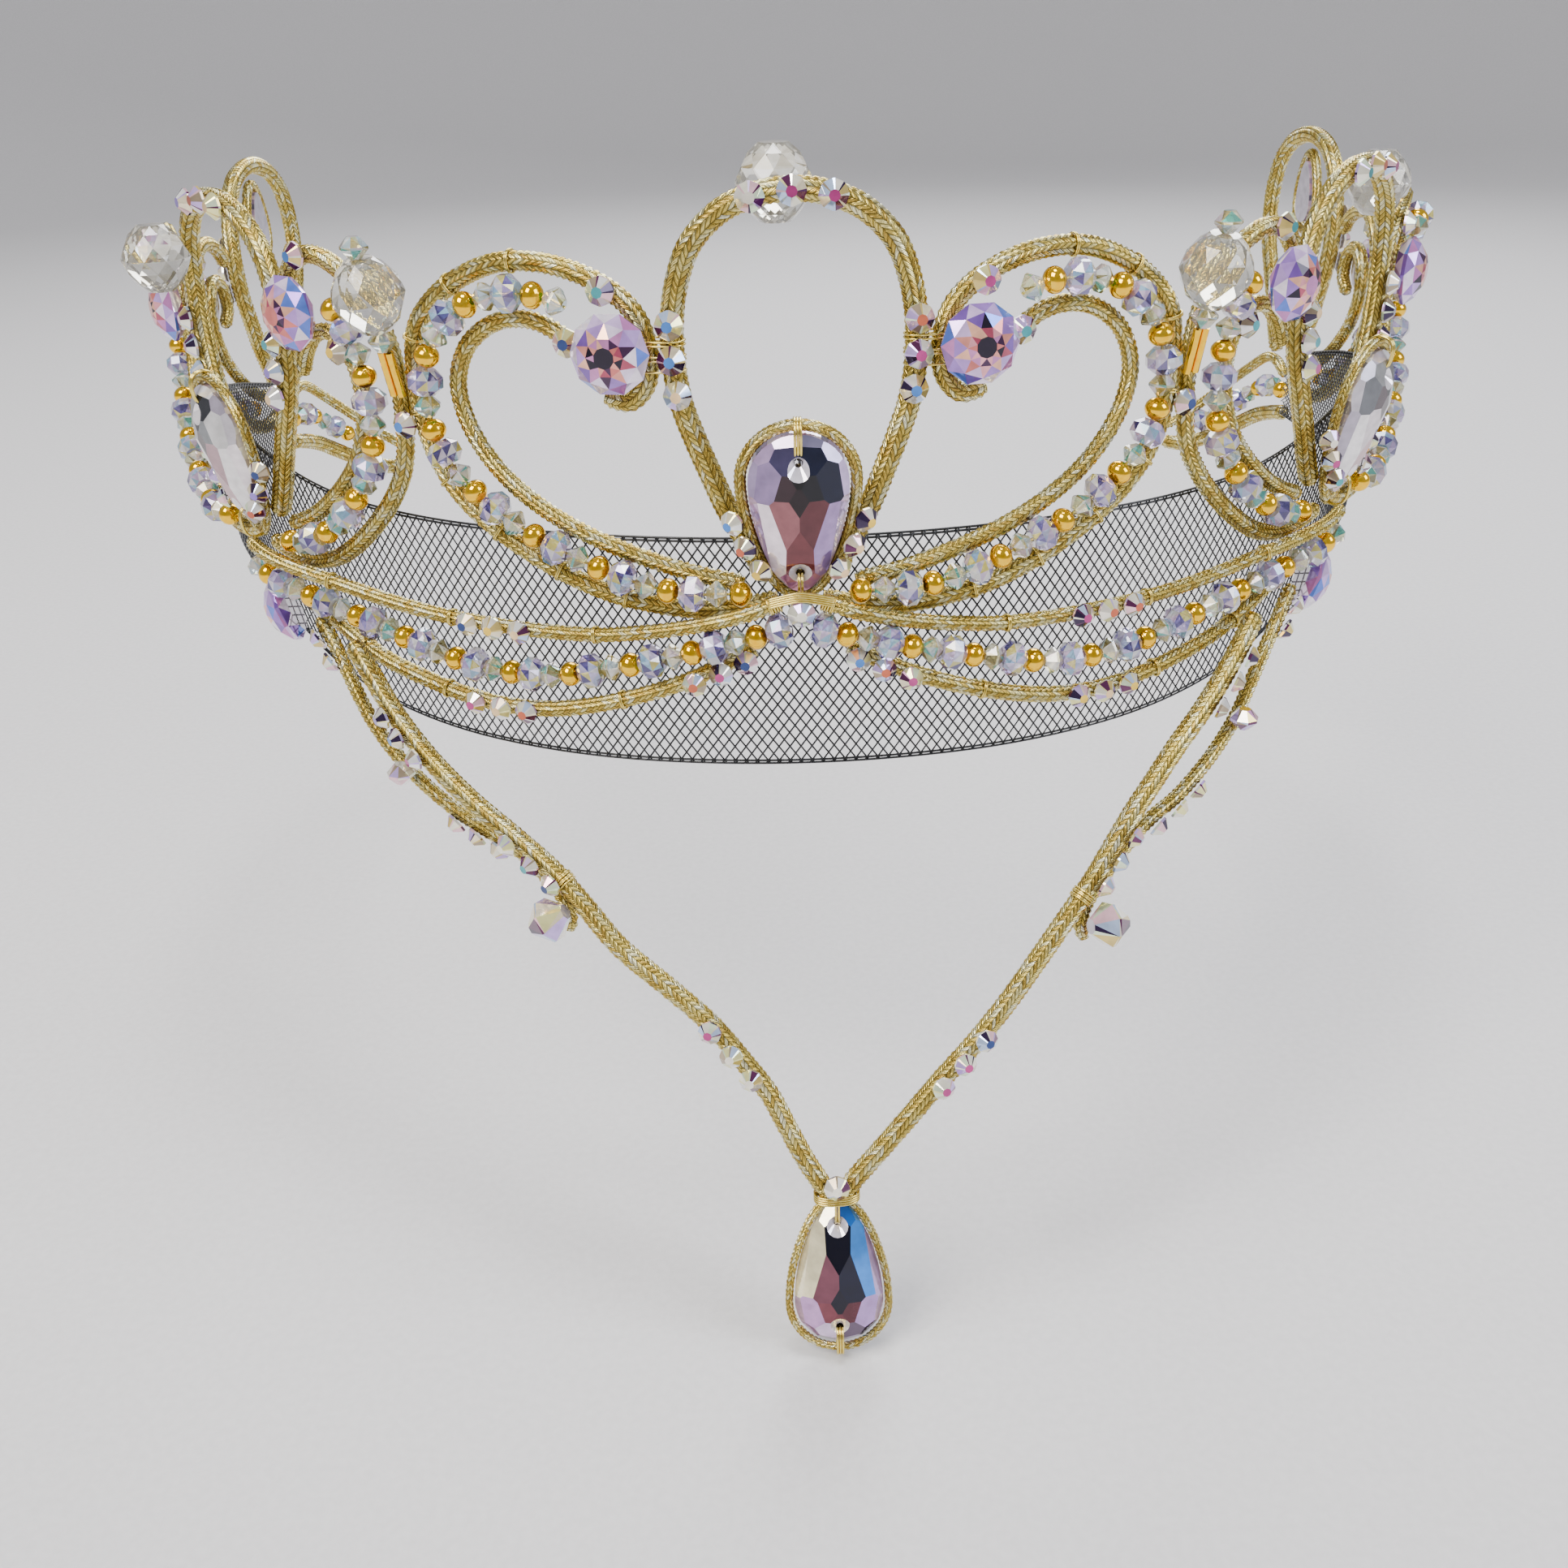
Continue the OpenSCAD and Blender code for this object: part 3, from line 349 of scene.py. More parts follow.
# routes of the cords and of the bead strings
routes = {
    "peak": [
        [3.9, 3, -0.2], [5.7, 6.4, -0.2], [7.6, 10, 0], [9.1, 13.6, 0], [10.6, 17.4, 0], [11.8, 21, 0],
        [12.4, 25, 0], [12.4, 29, 0], [11.7, 33, 0], [10.1, 36.8, 0], [7, 39.8, 0], [3.3, 41.3, 0],
        [0, 41.7, 0]],
    "outer": [
        [2.4, -0.2, -0.3], [6.6, -1.1, 0], [11.2, -1.4, 0], [16, -0.9, 0], [20.8, 0.1, 0], [25.4, 1.8, 0],
        [30, 4.1, 0], [34.4, 6.8, 0], [38.2, 10, 0], [41, 14.2, 0], [42.2, 18.8, 0], [42.5, 23.4, 0],
        [41.6, 27.8, 0], [38.8, 31, 0], [35, 33.4, 0], [30.6, 34.9, 0], [26, 35, 0], [21.8, 34, 0],
        [18.2, 32.1, 0], [15.9, 29.6, 0], [15, 26.4, 0], [15.3, 23.2, 0], [17.2, 21.2, 0], [19.8, 21.7, 0]],
    "inner": [
        [6, 1.7, 0], [10.4, 2.5, 0], [14.4, 3.6, 0], [18.4, 4.9, 0], [22.6, 6.5, 0], [27, 8.7, 0],
        [31.2, 11.6, 0], [34.4, 15, 0], [36.4, 18.7, 0], [36.9, 22.6, 0], [35.2, 26.4, 0], [31.6, 28.9, 0],
        [27.6, 29.3, 0], [24.4, 28, 0], [22.8, 26.4, 0]],
    "string": [
        [5, 1.3, 2.5], [8.6, 1.3, 2.6], [12, 1.3, 2.6], [16, 2, 2.4], [20, 3.2, 2.2], [24.4, 4.9, 2],
        [28.8, 7, 2], [33, 9.7, 2], [36.8, 12.9, 2], [39.1, 16.8, 2], [39.8, 21, 2], [39.2, 25.2, 2],
        [36.9, 28.7, 2], [33.4, 31.1, 2], [29.2, 32.2, 2], [24.8, 31.9, 2], [22.6, 31, 2.2]],
    "nearOuter": [
        [2.2, -0.6, 0.3], [6.6, -1.3, 0.2], [11, -1.5, 0], [15.4, -0.4, 0], [19.4, 1.8, 0], [23, 4.6, 0],
        [26.4, 8, 0], [29, 12, 0], [30, 16.4, 0], [30.1, 21, 0], [29.4, 25.6, 0], [27.4, 29.8, 0], [24, 33, 0],
        [20, 34.6, 0], [16.4, 34, 0], [14.2, 31.4, 0.2]],
    "nearInner": [
        [7, 2.4, 0], [11, 3.8, 0], [15, 6, 0], [18.6, 8.8, 0], [21.6, 12, 0], [23.6, 15.8, 0], [24.3, 20, 0],
        [23.4, 24, 0], [20.8, 26.4, 0], [17.8, 26, 0], [15.7, 23.8, 0], [14.6, 21.4, 0]],
    "nearString": [
        [9, 1.2, 2.5], [12.4, 1.6, 2.4], [16, 3, 2.2], [19.6, 5.2, 2], [22.8, 8.2, 2], [25.6, 11.8, 2],
        [27.1, 16, 2], [27.3, 20.4, 2], [26.6, 24.8, 2], [25, 28.2, 2], [23, 30.4, 2.2]],
    "rearOuter": [
        [2.2, -0.6, 0.3], [6.6, -1.3, 0.2], [12, -1.2, 0], [17.5, 0.6, 0], [22.4, 3.4, 0], [27, 6.8, 0],
        [30.8, 10.8, 0], [33.2, 15.4, 0], [33.8, 20.2, 0], [32.2, 24.8, 0], [28.6, 27.8, 0], [24, 28.4, 0],
        [19.6, 27.1, 0], [16.2, 24.6, 0.2]],
    "rearInner": [
        [7.2, 2.6, 0], [12, 4, 0], [16.8, 6.4, 0], [21.2, 9.4, 0], [25, 12.8, 0], [27.2, 16.8, 0],
        [26.8, 20.8, 0], [23.6, 23, 0], [20, 21.8, 0], [19, 18.4, 0], [21.4, 16.4, 0]],
    "rearString": [
        [8, 1, 2.4], [12.4, 1.3, 2.2], [17, 3.4, 2], [21.6, 6.4, 2], [25.9, 9.8, 2], [29, 14, 2],
        [30.5, 18.4, 2], [29.7, 22.6, 2], [26.4, 25.5, 2], [22.4, 25.7, 2]],
    "swagTop": [
        [2.3, 0.8, 4], [5.4, -0.4, 4.2], [9.4, -1.7, 3.4], [13.4, -2.7, 2.8], [17.6, -3.4, 2.5],
        [22, -3.9, 2.4], [28, -4, 2.3], [34, -3.9, 2.3], [40, -3.7, 2.3], [46, -3.3, 2.3], [50.5, -2.8, 2.5],
        [55, -2.1, 3], [59.5, -1.4, 3.8], [63.5, -0.7, 4.6], [67, 0, 5], [70.2, 0.8, 4.8]],
    "swagString": [
        [1.1, -2.3, 3.4], [4.6, -3.3, 3.3], [8.2, -4.3, 3.2], [12, -5.4, 3], [17, -6.8, 2.6], [22, -8, 2.4],
        [27, -9.1, 2.4], [32, -9.4, 2.4], [37, -9.1, 2.4], [42, -8.3, 2.4], [47, -7.2, 2.4], [52, -6.2, 2.5],
        [56, -5.5, 2.8], [60, -4.7, 3.3], [64, -3.9, 3.9], [68, -3, 4.3], [71.2, -2, 4.4]],
    "swagLow": [
        [5, -5.7, 1], [7.4, -6.8, 1.3], [10.6, -8.2, 1.8], [14, -9.6, 2.2], [18.5, -11.1, 2.4],
        [23.5, -12.5, 2.4], [28.5, -13.4, 2.4], [34, -13.6, 2.4], [39.5, -13, 2.4], [45, -11.9, 2.4],
        [50, -10.7, 2.4], [54, -9.5, 2.1], [58, -8.2, 1.7], [62, -7.4, 1], [66, -7.4, 0.3]],
    "tailHigh": [
        [151.9, -0.4, 0], [155.4, 1.2, 0], [159.5, 1, 0], [163.5, -1.5, -1], [167.5, -5, -3],
        [171.5, -9.5, -6.5], [175, -13.5, -10.5]],
    "tailLow": [
        [150.6, -6.4, 0], [155, -7.4, 0], [160, -9, -0.6], [164.5, -11.6, -2.2], [169, -14.6, -5],
        [172.6, -16.4, -8], [175.4, -16.4, -10.8]],
    "tailString": [
        [152, -3.4, 0.4], [156.5, -3.2, 0.2], [161, -4.6, -0.2], [165, -7.4, -1.8], [169, -10.5, -4.1],
        [171.6, -12.8, -6.7]]}
# the V's strands: height, then x on the left and on the right; the rear ones end in a hook
veeFront = [
    [-8.2, -52.4, 53.6], [-11.2, -50.3, 51.6], [-14.4, -48.1, 49.2], [-17.6, -45.4, 46.4], [-20.8, -42, 43.2],
    [-24, -37.8, 40.4], [-27, -33.2, 37.8], [-30.2, -28.9, 35.4], [-34, -25.2, 32.6], [-38, -21.6, 29.2],
    [-42, -16.4, 25.8], [-46, -11.6, 22.4], [-50, -8.2, 18.6], [-54, -5.2, 14.4], [-58, -3.2, 10.6],
    [-62, -1.2, 6.8], [-65.4, 0.85, 3.75],
    [-66.6, 1.1, 3.5]]  # past the solids' ends, where the strands are bound to the pendant's frame
veeRear = {
    "left": [
        [-7, -57.5], [-9.8, -55.5], [-13.3, -53.7], [-17.2, -51.5], [-20.4, -48.8], [-23.4, -45.2], [-26, -41],
        [-27.6, -37.4], [-28.8, -34.5], [-30.4, -31.9], [-32.3, -29.9], [-34.2, -28.3], [-36.2, -27.5],
        [-37.8, -27.7]],
    "right": [
        [-7, 59.6], [-9.8, 57.9], [-13.3, 55.9], [-17.2, 53.7], [-20.4, 51.8], [-23.4, 49.2], [-26, 46.2],
        [-27.8, 43.6], [-29, 41.1], [-30.6, 38.7], [-33, 36.2], [-35.4, 34], [-37.6, 32.4], [-39.8, 31.8],
        [-41.4, 32.2]]}


def unit(v):
    return v / np.maximum(np.linalg.norm(v, axis=-1, keepdims=True), 1e-12)


# points, tangents and two side directions at every small step along a route
def framesAlong(points, closed=False, step=0.1):
    p = np.array(points, float)
    if closed:
        p = np.vstack([p, p[:1]])
    along = np.concatenate([[0], np.cumsum(np.linalg.norm(np.diff(p, axis=0), axis=1))])
    count = max(int(along[-1] / step), 8)
    s = np.linspace(0, along[-1], count + 1)
    q = np.stack([np.interp(s, along, p[:, k]) for k in range(3)], axis=1)
    if closed:
        t = unit(np.roll(q[:-1], -1, axis=0) - np.roll(q[:-1], 1, axis=0))
        t = np.vstack([t, t[:1]])
    else:
        t = unit(np.gradient(q, axis=0))
    u = np.zeros_like(q)
    u[0] = unit(np.cross(t[0], [0.3, 0.2, 1.0]))  # a direction that no route starts along
    for i in range(1, len(q)):
        u[i] = unit(u[i - 1] - np.dot(u[i - 1], t[i]) * t[i])
    return s, q, t, u, np.cross(t, u)


def newPiece(name, mesh, finish=None):
    piece = bpy.data.objects.new(name, mesh)
    bpy.context.scene.collection.objects.link(piece)
    if finish:
        mesh.materials.append(finishes[finish])
    return piece


def meshOf(name, points, faces, uvs=None, smoothFaces=True):
    mesh = bpy.data.meshes.new(name)
    mesh.from_pydata((np.array(points) * mm).tolist(), [], faces)
    if uvs is not None:
        layer = mesh.uv_layers.new(name="braid")
        layer.data.foreach_set("uv", np.array(uvs, np.float32).ravel())
    mesh.polygons.foreach_set("use_smooth", [smoothFaces] * len(mesh.polygons))
    mesh.update()
    return mesh


# meshes of one piece, gathered into one list of points and one of faces
def gathered(shapes):
    verts, faces = [], []
    for shape in shapes:
        base = len(verts)
        verts += shape[0]
        faces += [tuple(k + base for k in face) for face in shape[1]]
    return verts, faces


# a plain tube: a ring of points at each step, with a cap at each end unless it closes on itself
def roundTube(centres, u, v, thick, sides, closed=False):
    count = len(centres) - 1 if closed else len(centres)
    verts, faces = [], []
    for i in range(count):
        for k in range(sides):
            angle = 2 * math.pi * k / sides
            verts.append(centres[i] + thick / 2 * (math.cos(angle) * u[i] + math.sin(angle) * v[i]))
    for i in range(count if closed else count - 1):
        n = (i + 1) % count
        for k in range(sides):
            m = (k + 1) % sides
            faces.append((i * sides + k, i * sides + m, n * sides + m, n * sides + k))
    if not closed:
        faces.append(tuple(range(sides - 1, -1, -1)))
        faces.append(tuple((count - 1) * sides + k for k in range(sides)))
    return verts, faces


# a float leans by a share of its column's width, which dies out at a cord's ends, and a cord
# narrows at its very tips; all lengths in millimetres
braidSettings = {"slant": 1.15, "fadeOver": 2.5, "tip": 0.72, "tipOver": 0.7, "nextCord": 37}


# a herringbone braid as real relief: ridges and grooves that zigzag round the cord
def braidTube(points, diameter, closed=False, columns=10, pitch=0.72, relief=0.2, uvStart=0):
    b = braidSettings
    s, q, t, u, v = framesAlong(points, closed)
    length = s[-1]
    rings = max(int(round(length / pitch)) * 2, 6)
    sides = columns * 2
    slant = math.pi * diameter / columns * b["slant"]
    step = length / rings
    verts, loops, uvs = [], [], []
    count = rings if closed else rings + 1
    for i in range(count):
        at = i * step
        ridge = relief / 2 if i % 2 == 0 else -relief / 2
        endFade = 1 if closed else min(1, at / b["fadeOver"], (length - at) / b["fadeOver"])
        narrow = b["tip"] + (1 - b["tip"]) * min(at, length - at) / b["tipOver"]
        taper = 1 if closed else min(1, narrow)
        for j in range(sides):
            zig = abs((j % 4) - 2) / 2 - 0.5
            place = at + slant * zig * endFade
            place = place % length if closed else min(max(place, 0), length)
            k = place / length * (len(s) - 1)
            low = min(int(k), len(s) - 2)
            f = k - low
            centre = q[low] * (1 - f) + q[low + 1] * f
            side = u[low] * (1 - f) + u[low + 1] * f
            other = v[low] * (1 - f) + v[low + 1] * f
            angle = 2 * math.pi * j / sides
            radius = (diameter / 2 - relief / 4 + ridge - (relief * 0.5 if j % 2 == 0 else 0)) * taper
            verts.append(centre + radius * (math.cos(angle) * side + math.sin(angle) * other))
    for i in range(rings):
        n = (i + 1) % count
        for j in range(sides):
            m = (j + 1) % sides
            loops.append((i * sides + j, i * sides + m, n * sides + m, n * sides + j))
            uvs += [
                (j / 2, uvStart + i / 2), ((j + 1) / 2, uvStart + i / 2),
                ((j + 1) / 2, uvStart + (i + 1) / 2), (j / 2, uvStart + (i + 1) / 2)]
    if not closed:
        for end, first, order in ((q[0], 0, -1), (q[-1], (count - 1) * sides, 1)):
            verts.append(end)
            tip = len(verts) - 1
            for j in range(sides):
                m = (j + 1) % sides
                pair = (first + j, first + m) if order == 1 else (first + m, first + j)
                loops.append((*pair, tip))
                uvs += [(j / 2, 0.5), ((j + 1) / 2, 0.5), (j / 2, 0.25)]
    return verts, loops, uvs


def braidPiece(name, cords, nodes):
    tubes = []
    for number, (points, diameter, *more) in enumerate(cords):
        start = number * braidSettings["nextCord"]  # so that no two cords have the same tints
        tubes.append(braidTube(points, diameter, uvStart=start, **(more[0] if more else {})))
    uvs = [uv for tube in tubes for uv in tube[2]]
    piece = newPiece(name, meshOf(name, *gathered(tubes), uvs), "braid")
    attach(piece, "root")
    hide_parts(*nodes)


cordSizes = {
    "peak": 2.5, "outer": 2.1, "inner": 1.9, "swagTop": 1.7, "swagLow": 1.9, "vee": 2.4, "veeRear": 1.7}


def peakRoute(at, top, wide):
    half = lifted(routes["peak"], top)
    return [[at - wide * a, z, out] for a, z, out in half] + [
        [at + wide * a, z, out] for a, z, out in reversed(half[:-1])]


def veeRoute(rows, column, out):
    return smooth([onSheet(row[column], row[0], out) for row in rows])


def makeBraids():
    d = cordSizes
    braidPiece("braid_front_peak", [(onRing(peakRoute(0, 1, 1)), d["peak"])], ["front_peak"])
    pairs = {
        "peak": [(onRing(peakRoute(sideAt, sideTop, farWidth)), d["peak"])],
        "rear_peak": [(onRing(peakRoute(rearAt, rearTop, 1)), d["peak"])],
        "near_scroll": [
            (onRing(forward(routes["nearOuter"], sideAt)), d["outer"]),
            (onRing(forward(routes["nearInner"], sideAt)), d["inner"])],
        "far_scroll": [
            (onRing(lifted(backward(routes["outer"], sideAt, farWidth), sideTop)), d["outer"]),
            (onRing(lifted(backward(routes["inner"], sideAt, farWidth), sideTop)), d["inner"])],
        "rear_scroll": [
            (onRing(forward(routes["rearOuter"], rearAt)), d["outer"]),
            (onRing(forward(routes["rearInner"], rearAt)), d["inner"])],
        "swag_top": [(onRing(routes["swagTop"]), d["swagTop"])],
        "swag_low": [(onRing(routes["swagLow"]), d["swagLow"])],
        "tail": [(onRing(routes["tailHigh"]), d["swagTop"]), (onRing(routes["tailLow"]), d["peak"])],
    }
    for name, cords in pairs.items():
        braidPiece("braid_right_" + name, cords, ["right_" + name])
        braidPiece("braid_left_" + name, [(toLeft(p), w) for p, w in cords], ["left_" + name])
    front = [(onRing(routes["outer"]), d["outer"]), (onRing(routes["inner"]), d["inner"])]
    braidPiece("braid_front_right_scroll", front, ["front_right_scroll"])
    braidPiece("braid_front_left_scroll", [(toLeft(p), w) for p, w in front], ["front_left_scroll"])
    for side, column in (("left", 1), ("right", 2)):
        braidPiece(
            "braid_" + side + "_vee",
            [(veeRoute(veeFront, column, 0), d["vee"]), (veeRoute(veeRear[side], 1, -2), d["veeRear"])],
            [side + "_vee"])


makeBraids()
print("braided cords made")


# matrices that seat a piece on the wall or on the V's sheet, in millimetres
def turned(axis, degrees):
    return Matrix.Rotation(math.radians(degrees), 4, axis)


def seated(a, z, out, lean=0, turn=0):
    return (Matrix.Translation(Vector(onWall(abs(a), z, out))) @ turned("Z", turnAt(abs(a))) @ turned("X", 90)
            @ turned("Z", turn) @ turned("Y", lean))


flip = Matrix.Diagonal((-1, 1, 1, 1))


def mirrored(matrix):
    return flip @ matrix @ flip


# the pendant hangs at the V's point, leaning out to its foot
pendantSettings = {"x": 2.3, "z": -76.1, "lean": 14.5, "sink": 2.1}


def hung():
    s = pendantSettings
    place = Vector(onSheet(s["x"], s["z"], 0))
    return (Matrix.Translation(place) @ turned("X", 90 - s["lean"])
            @ Matrix.Translation((0, 0, -s["sink"])))


# models are cut once at the origin, in millimetres, with +Z out of the stone
def startModel(name, sides, radius, height=0.0):
    clearSelection()
    bpy.ops.mesh.primitive_circle_add(vertices=sides, radius=radius, fill_type="NGON", location=(0, 0, height))
    bpy.ops.object.transform_apply(location=True)
    model = bpy.context.object
    model.name = name
    return model


# modelling tools give points and faces in any order, so both are sorted by place: each run is the same
def settled(model):
    old = model.data
    points = [tuple(v.co) for v in old.vertices]
    order = sorted(range(len(points)), key=lambda k: [round(c, 3) for c in points[k]])
    number = {k: new for new, k in enumerate(order)}
    faces = []
    for face in old.polygons:
        loop = [number[k] for k in face.vertices]
        first = loop.index(min(loop))
        faces.append(loop[first:] + loop[:first])
    fresh = bpy.data.meshes.new(old.name + "_settled")
    fresh.from_pydata([points[k] for k in order], [], sorted(faces))
    model.data = fresh
    bpy.data.meshes.remove(old)
    return model


# each cut lifts the last outline, scales it and turns it half a step, so that facets are triangles
def cutUpwards(model, cuts, halfStep):
    editAll()
    for rise, scale, turnIt in cuts:
        bpy.ops.mesh.extrude_region_move(TRANSFORM_OT_translate={"value": (0, 0, rise)})
        bpy.ops.transform.resize(value=(scale, scale, 1), center_override=(0, 0, 0))
        if turnIt:
            bpy.ops.transform.rotate(value=halfStep, orient_axis="Z", center_override=(0, 0, 0))
    bpy.ops.mesh.select_all(action="SELECT")
    bpy.ops.mesh.normals_make_consistent(inside=False)
    leaveEdit()
    clearSelection()
    return settled(model)


def triangulateSides(model, keepAbove):
    work = bmesh.new()
    work.from_mesh(model.data)
    quads = [f for f in work.faces if len(f.verts) < keepAbove]
    bmesh.ops.triangulate(work, faces=quads, quad_method="SHORT_EDGE")
    bmesh.ops.recalc_face_normals(work, faces=work.faces)
    work.to_mesh(model.data)
    work.free()
    return model


stoneSettings = {
    "flat": {"sides": 8, "radius": 1.55, "corner": 0.14,
             "cuts": [(0.3, 1.0, False), (0.95, 0.38, False)]},
    "smallFlat": {"sides": 8, "radius": 1.4, "corner": 0.13,
                  "cuts": [(0.28, 1.0, False), (0.88, 0.38, False)]},
    "rondelle": {"sides": 10, "radius": 1.15, "height": -1.33,
                 "cuts": [(0.8, 1.7, True), (1.06, 1.0, False), (0.8, 0.588, True)]},
    "bicone": {"sides": 8, "radius": 0.62, "height": -1.12,
               "cuts": [(0.98, 2.42, False), (0.28, 1.0, False), (0.98, 0.413, False)]},
    "round": {"sides": 10, "radius": 3.2,
              "cuts": [(0.9, 1.28, True), (0.45, 1.025, False), (1.0, 0.78, True), (0.8, 0.6, True),
                       (0.22, 0.55, True)]},
    "clear": {"sides": 10, "radius": 1.6, "height": -3.76,
              "cuts": [(0.9, 1.62, True), (1.35, 1.34, True), (1.5, 1.15, True), (1.5, 0.87, True),
                       (1.35, 0.75, True), (0.92, 0.62, True)]},
    "largeBicone": {"sides": 8, "radius": 0.92, "height": -2.4,
                    "cuts": [(2.25, 2.93, False), (0.3, 1.0, False), (2.25, 0.341, False)]},
    "goldBead": {"radius": 1.4, "flat": 0.87},
}


def cutModel(name):
    s = stoneSettings[name]
    model = startModel("model_" + name, s["sides"], s["radius"], s.get("height", 0))
    if "corner" in s:  # slim facets between the large ones
        bpy.context.view_layer.objects.active = model
        editAll()
        bpy.ops.mesh.bevel(offset=s["corner"], affect="VERTICES", segments=1)
        leaveEdit()
        settled(model).select_set(True)
    cutUpwards(model, s["cuts"], math.pi / s["sides"])
    return settled(triangulateSides(model, 0 if "corner" in s else 5))


def goldBeadModel():
    clearSelection()
    s = stoneSettings["goldBead"]
    bpy.ops.mesh.primitive_uv_sphere_add(segments=16, ring_count=10, radius=s["radius"])
    model = bpy.context.object
    model.name = "model_goldBead"
    editAll()
    bpy.ops.transform.resize(value=(1, 1, s["flat"]), center_override=(0, 0, 0))
    leaveEdit()
    settled(model).select_set(True)
    bpy.ops.object.shade_smooth()
    clearSelection()
    return model


models = {name: cutModel(name) for name in stoneSettings if name != "goldBead"}
models["goldBead"] = goldBeadModel()
print("stone models cut:", {n: len(m.data.polygons) for n, m in models.items()})

# each crystal's facet tints: its own colour, with painted reflections near white and dark; a list ending in
# Table is for the table, one ending in Heart for a round stone's middle
facetTintsAndReflections = {
    "aurora": ["#F8F5E2", "#F2EEA6", "#F6E8C6", "#F4C4D0", "#C9AEEC", "#FFFFFF", "#A8967C", "#5A1E4E",
        "#E2F4D2", "#2C1640", "#FAF4E8", "#D8C070", "#BFD4F6"],
    "auroraTable": ["#3E7FD0", "#C8603C", "#F4D09A", "#8E74D0", "#B83A84", "#F0C840", "#FAF4E4",
        "#1E3A78", "#3CA0A8"],
    "rondelle": ["#DCD2F6", "#C2CEF6", "#7468B4", "#FBF9FF", "#E6CCF0", "#FFFFFF", "#463C84", "#9ED2F2",
        "#F4E878", "#C8B2EA"],
    "bicone": ["#FBF3CE", "#FFFFF6", "#D8C680", "#E6ECBE", "#CBE6F8", "#8E8248", "#FFFFFF", "#F0DCEC",
        "#5CC4BA"],
    "clear": ["#FFFFFF", "#F8F5E8", "#F0EBD8", "#FFFDF4", "#E8E6DC", "#D9D2BC"],
    "lilac": ["#C4A2E6", "#EEDCFA", "#9F78CC", "#DABCF0", "#7A54AE", "#B990DE", "#F6EAFC", "#5C7CDC",
        "#C47CBC"],
    "lilacHeart": ["#EA9A8C", "#D2746E", "#F4B89A", "#B04C64", "#46284A", "#F2A6B2", "#1C1228", "#C884BC"],
    "plain": ["#FFFFFF"],
}
foilBack = "#C2BCC8"  # the lacquered silver foil behind a flat-backed stone
# chance that a facet takes its neighbour's tint, how far out the heart's painted reflections reach, how well a
# pear's face must match a cutting plane, and how wide its hole's painted shade and pale rim reach
tintSettings = {"patch": 0.45, "heart": 0.66, "match": 0.9995, "nearHole": 1.4}


# one tint a face, kept on the mesh for the crystal's finish; the tints hold painted reflections as well as
# colour
def paintFaces(mesh, tints):
    layer = mesh.color_attributes.new(name="facet", type="FLOAT_COLOR", domain="CORNER")
    values = np.zeros((len(mesh.loops), 4), np.float32)
    for face, tint in zip(mesh.polygons, tints):
        values[face.loop_start : face.loop_start + face.loop_total] = linear(tint)
    layer.data.foreach_set("color", values.ravel())


# each facet keeps one tint, and the table one of its own: the crystal's colour together with painted
# reflections, near white and dark
def paintFacetTintsAndReflections(mesh, name, draw):
    palette, tables, heart = facetTintsAndReflections[name], facetTintsAndReflections.get(name + "Table"), facetTintsAndReflections.get(name + "Heart")
    top = max(face.center[2] for face in mesh.polygons)
    wide = max(math.hypot(*face.center[:2]) for face in mesh.polygons)
    before, tints = None, []
    for face in mesh.polygons:
        inside = heart and math.hypot(*face.center[:2]) < wide * tintSettings["heart"]
        # coated stones show broad patches of their tints and painted reflections
        if not (tables and before and draw.random() < tintSettings["patch"]):
            choice = draw.choice([c for c in (heart if inside else palette) if c != before] or palette)
        before = choice
        tint = draw.choice(tables) if tables and face.center[2] > top - 0.01 else choice
        if face.normal.z < -0.95 and (tables or heart):
            tint = foilBack
        tints.append(tint)
    paintFaces(mesh, tints)


# puts a mesh cut in millimetres where it belongs, in metres
def place(mesh, matrix):
    mesh.transform(Matrix.Diagonal((mm, mm, mm, 1)) @ matrix)
    if matrix.determinant() < 0:
        mesh.flip_normals()


# copies of a model, each with its own mesh, joined as one piece at the origin
def joinCopies(name, parts, nodes, seed):
    draw = random.Random(seed)
    made = []
    for kind, matrix, finish, palette in parts:
        data = models[kind].data.copy()
        paintFacetTintsAndReflections(data, palette, draw)
        place(data, matrix)
        data.materials.append(finishes[finish])
        copy = bpy.data.objects.new(name + "_part", data)
        bpy.context.scene.collection.objects.link(copy)
        made.append(copy)
    clearSelection()
    for copy in made:
        copy.select_set(True)
    bpy.context.view_layer.objects.active = made[0]
    if len(made) > 1:
        bpy.ops.object.join()
    piece = bpy.context.view_layer.objects.active
    piece.name = name
    piece.data.name = name
    clearSelection()
    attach(piece, "root")
    if nodes:
        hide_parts(*nodes)


# the separate solids of a CAD node, as point arrays in millimetres
def solidsOf(node):
    work = bmesh.new()
    work.from_mesh(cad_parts[node].data)
    bmesh.ops.remove_doubles(work, verts=work.verts, dist=1e-6)
    left, found = set(work.verts), []
    while left:
        island, todo = [], [left.pop()]
        while todo:
            vert = todo.pop()
            island.append(vert)
            for edge in vert.link_edges:
                other = edge.other_vert(vert)
                if other in left:
                    left.remove(other)
                    todo.append(other)
        found.append(np.array(sorted([round(c / mm, 4) for c in v.co] for v in island)))
    work.free()
    return sorted(found, key=lambda p: tuple(np.round(p.mean(0), 3)))


def axesMatrix(x, y, z, place):
    matrix = Matrix.Identity(4)
    for column, axis in enumerate((x, y, z, place)):
        for line in range(3):
            matrix[line][column] = float(axis[line])
    return matrix


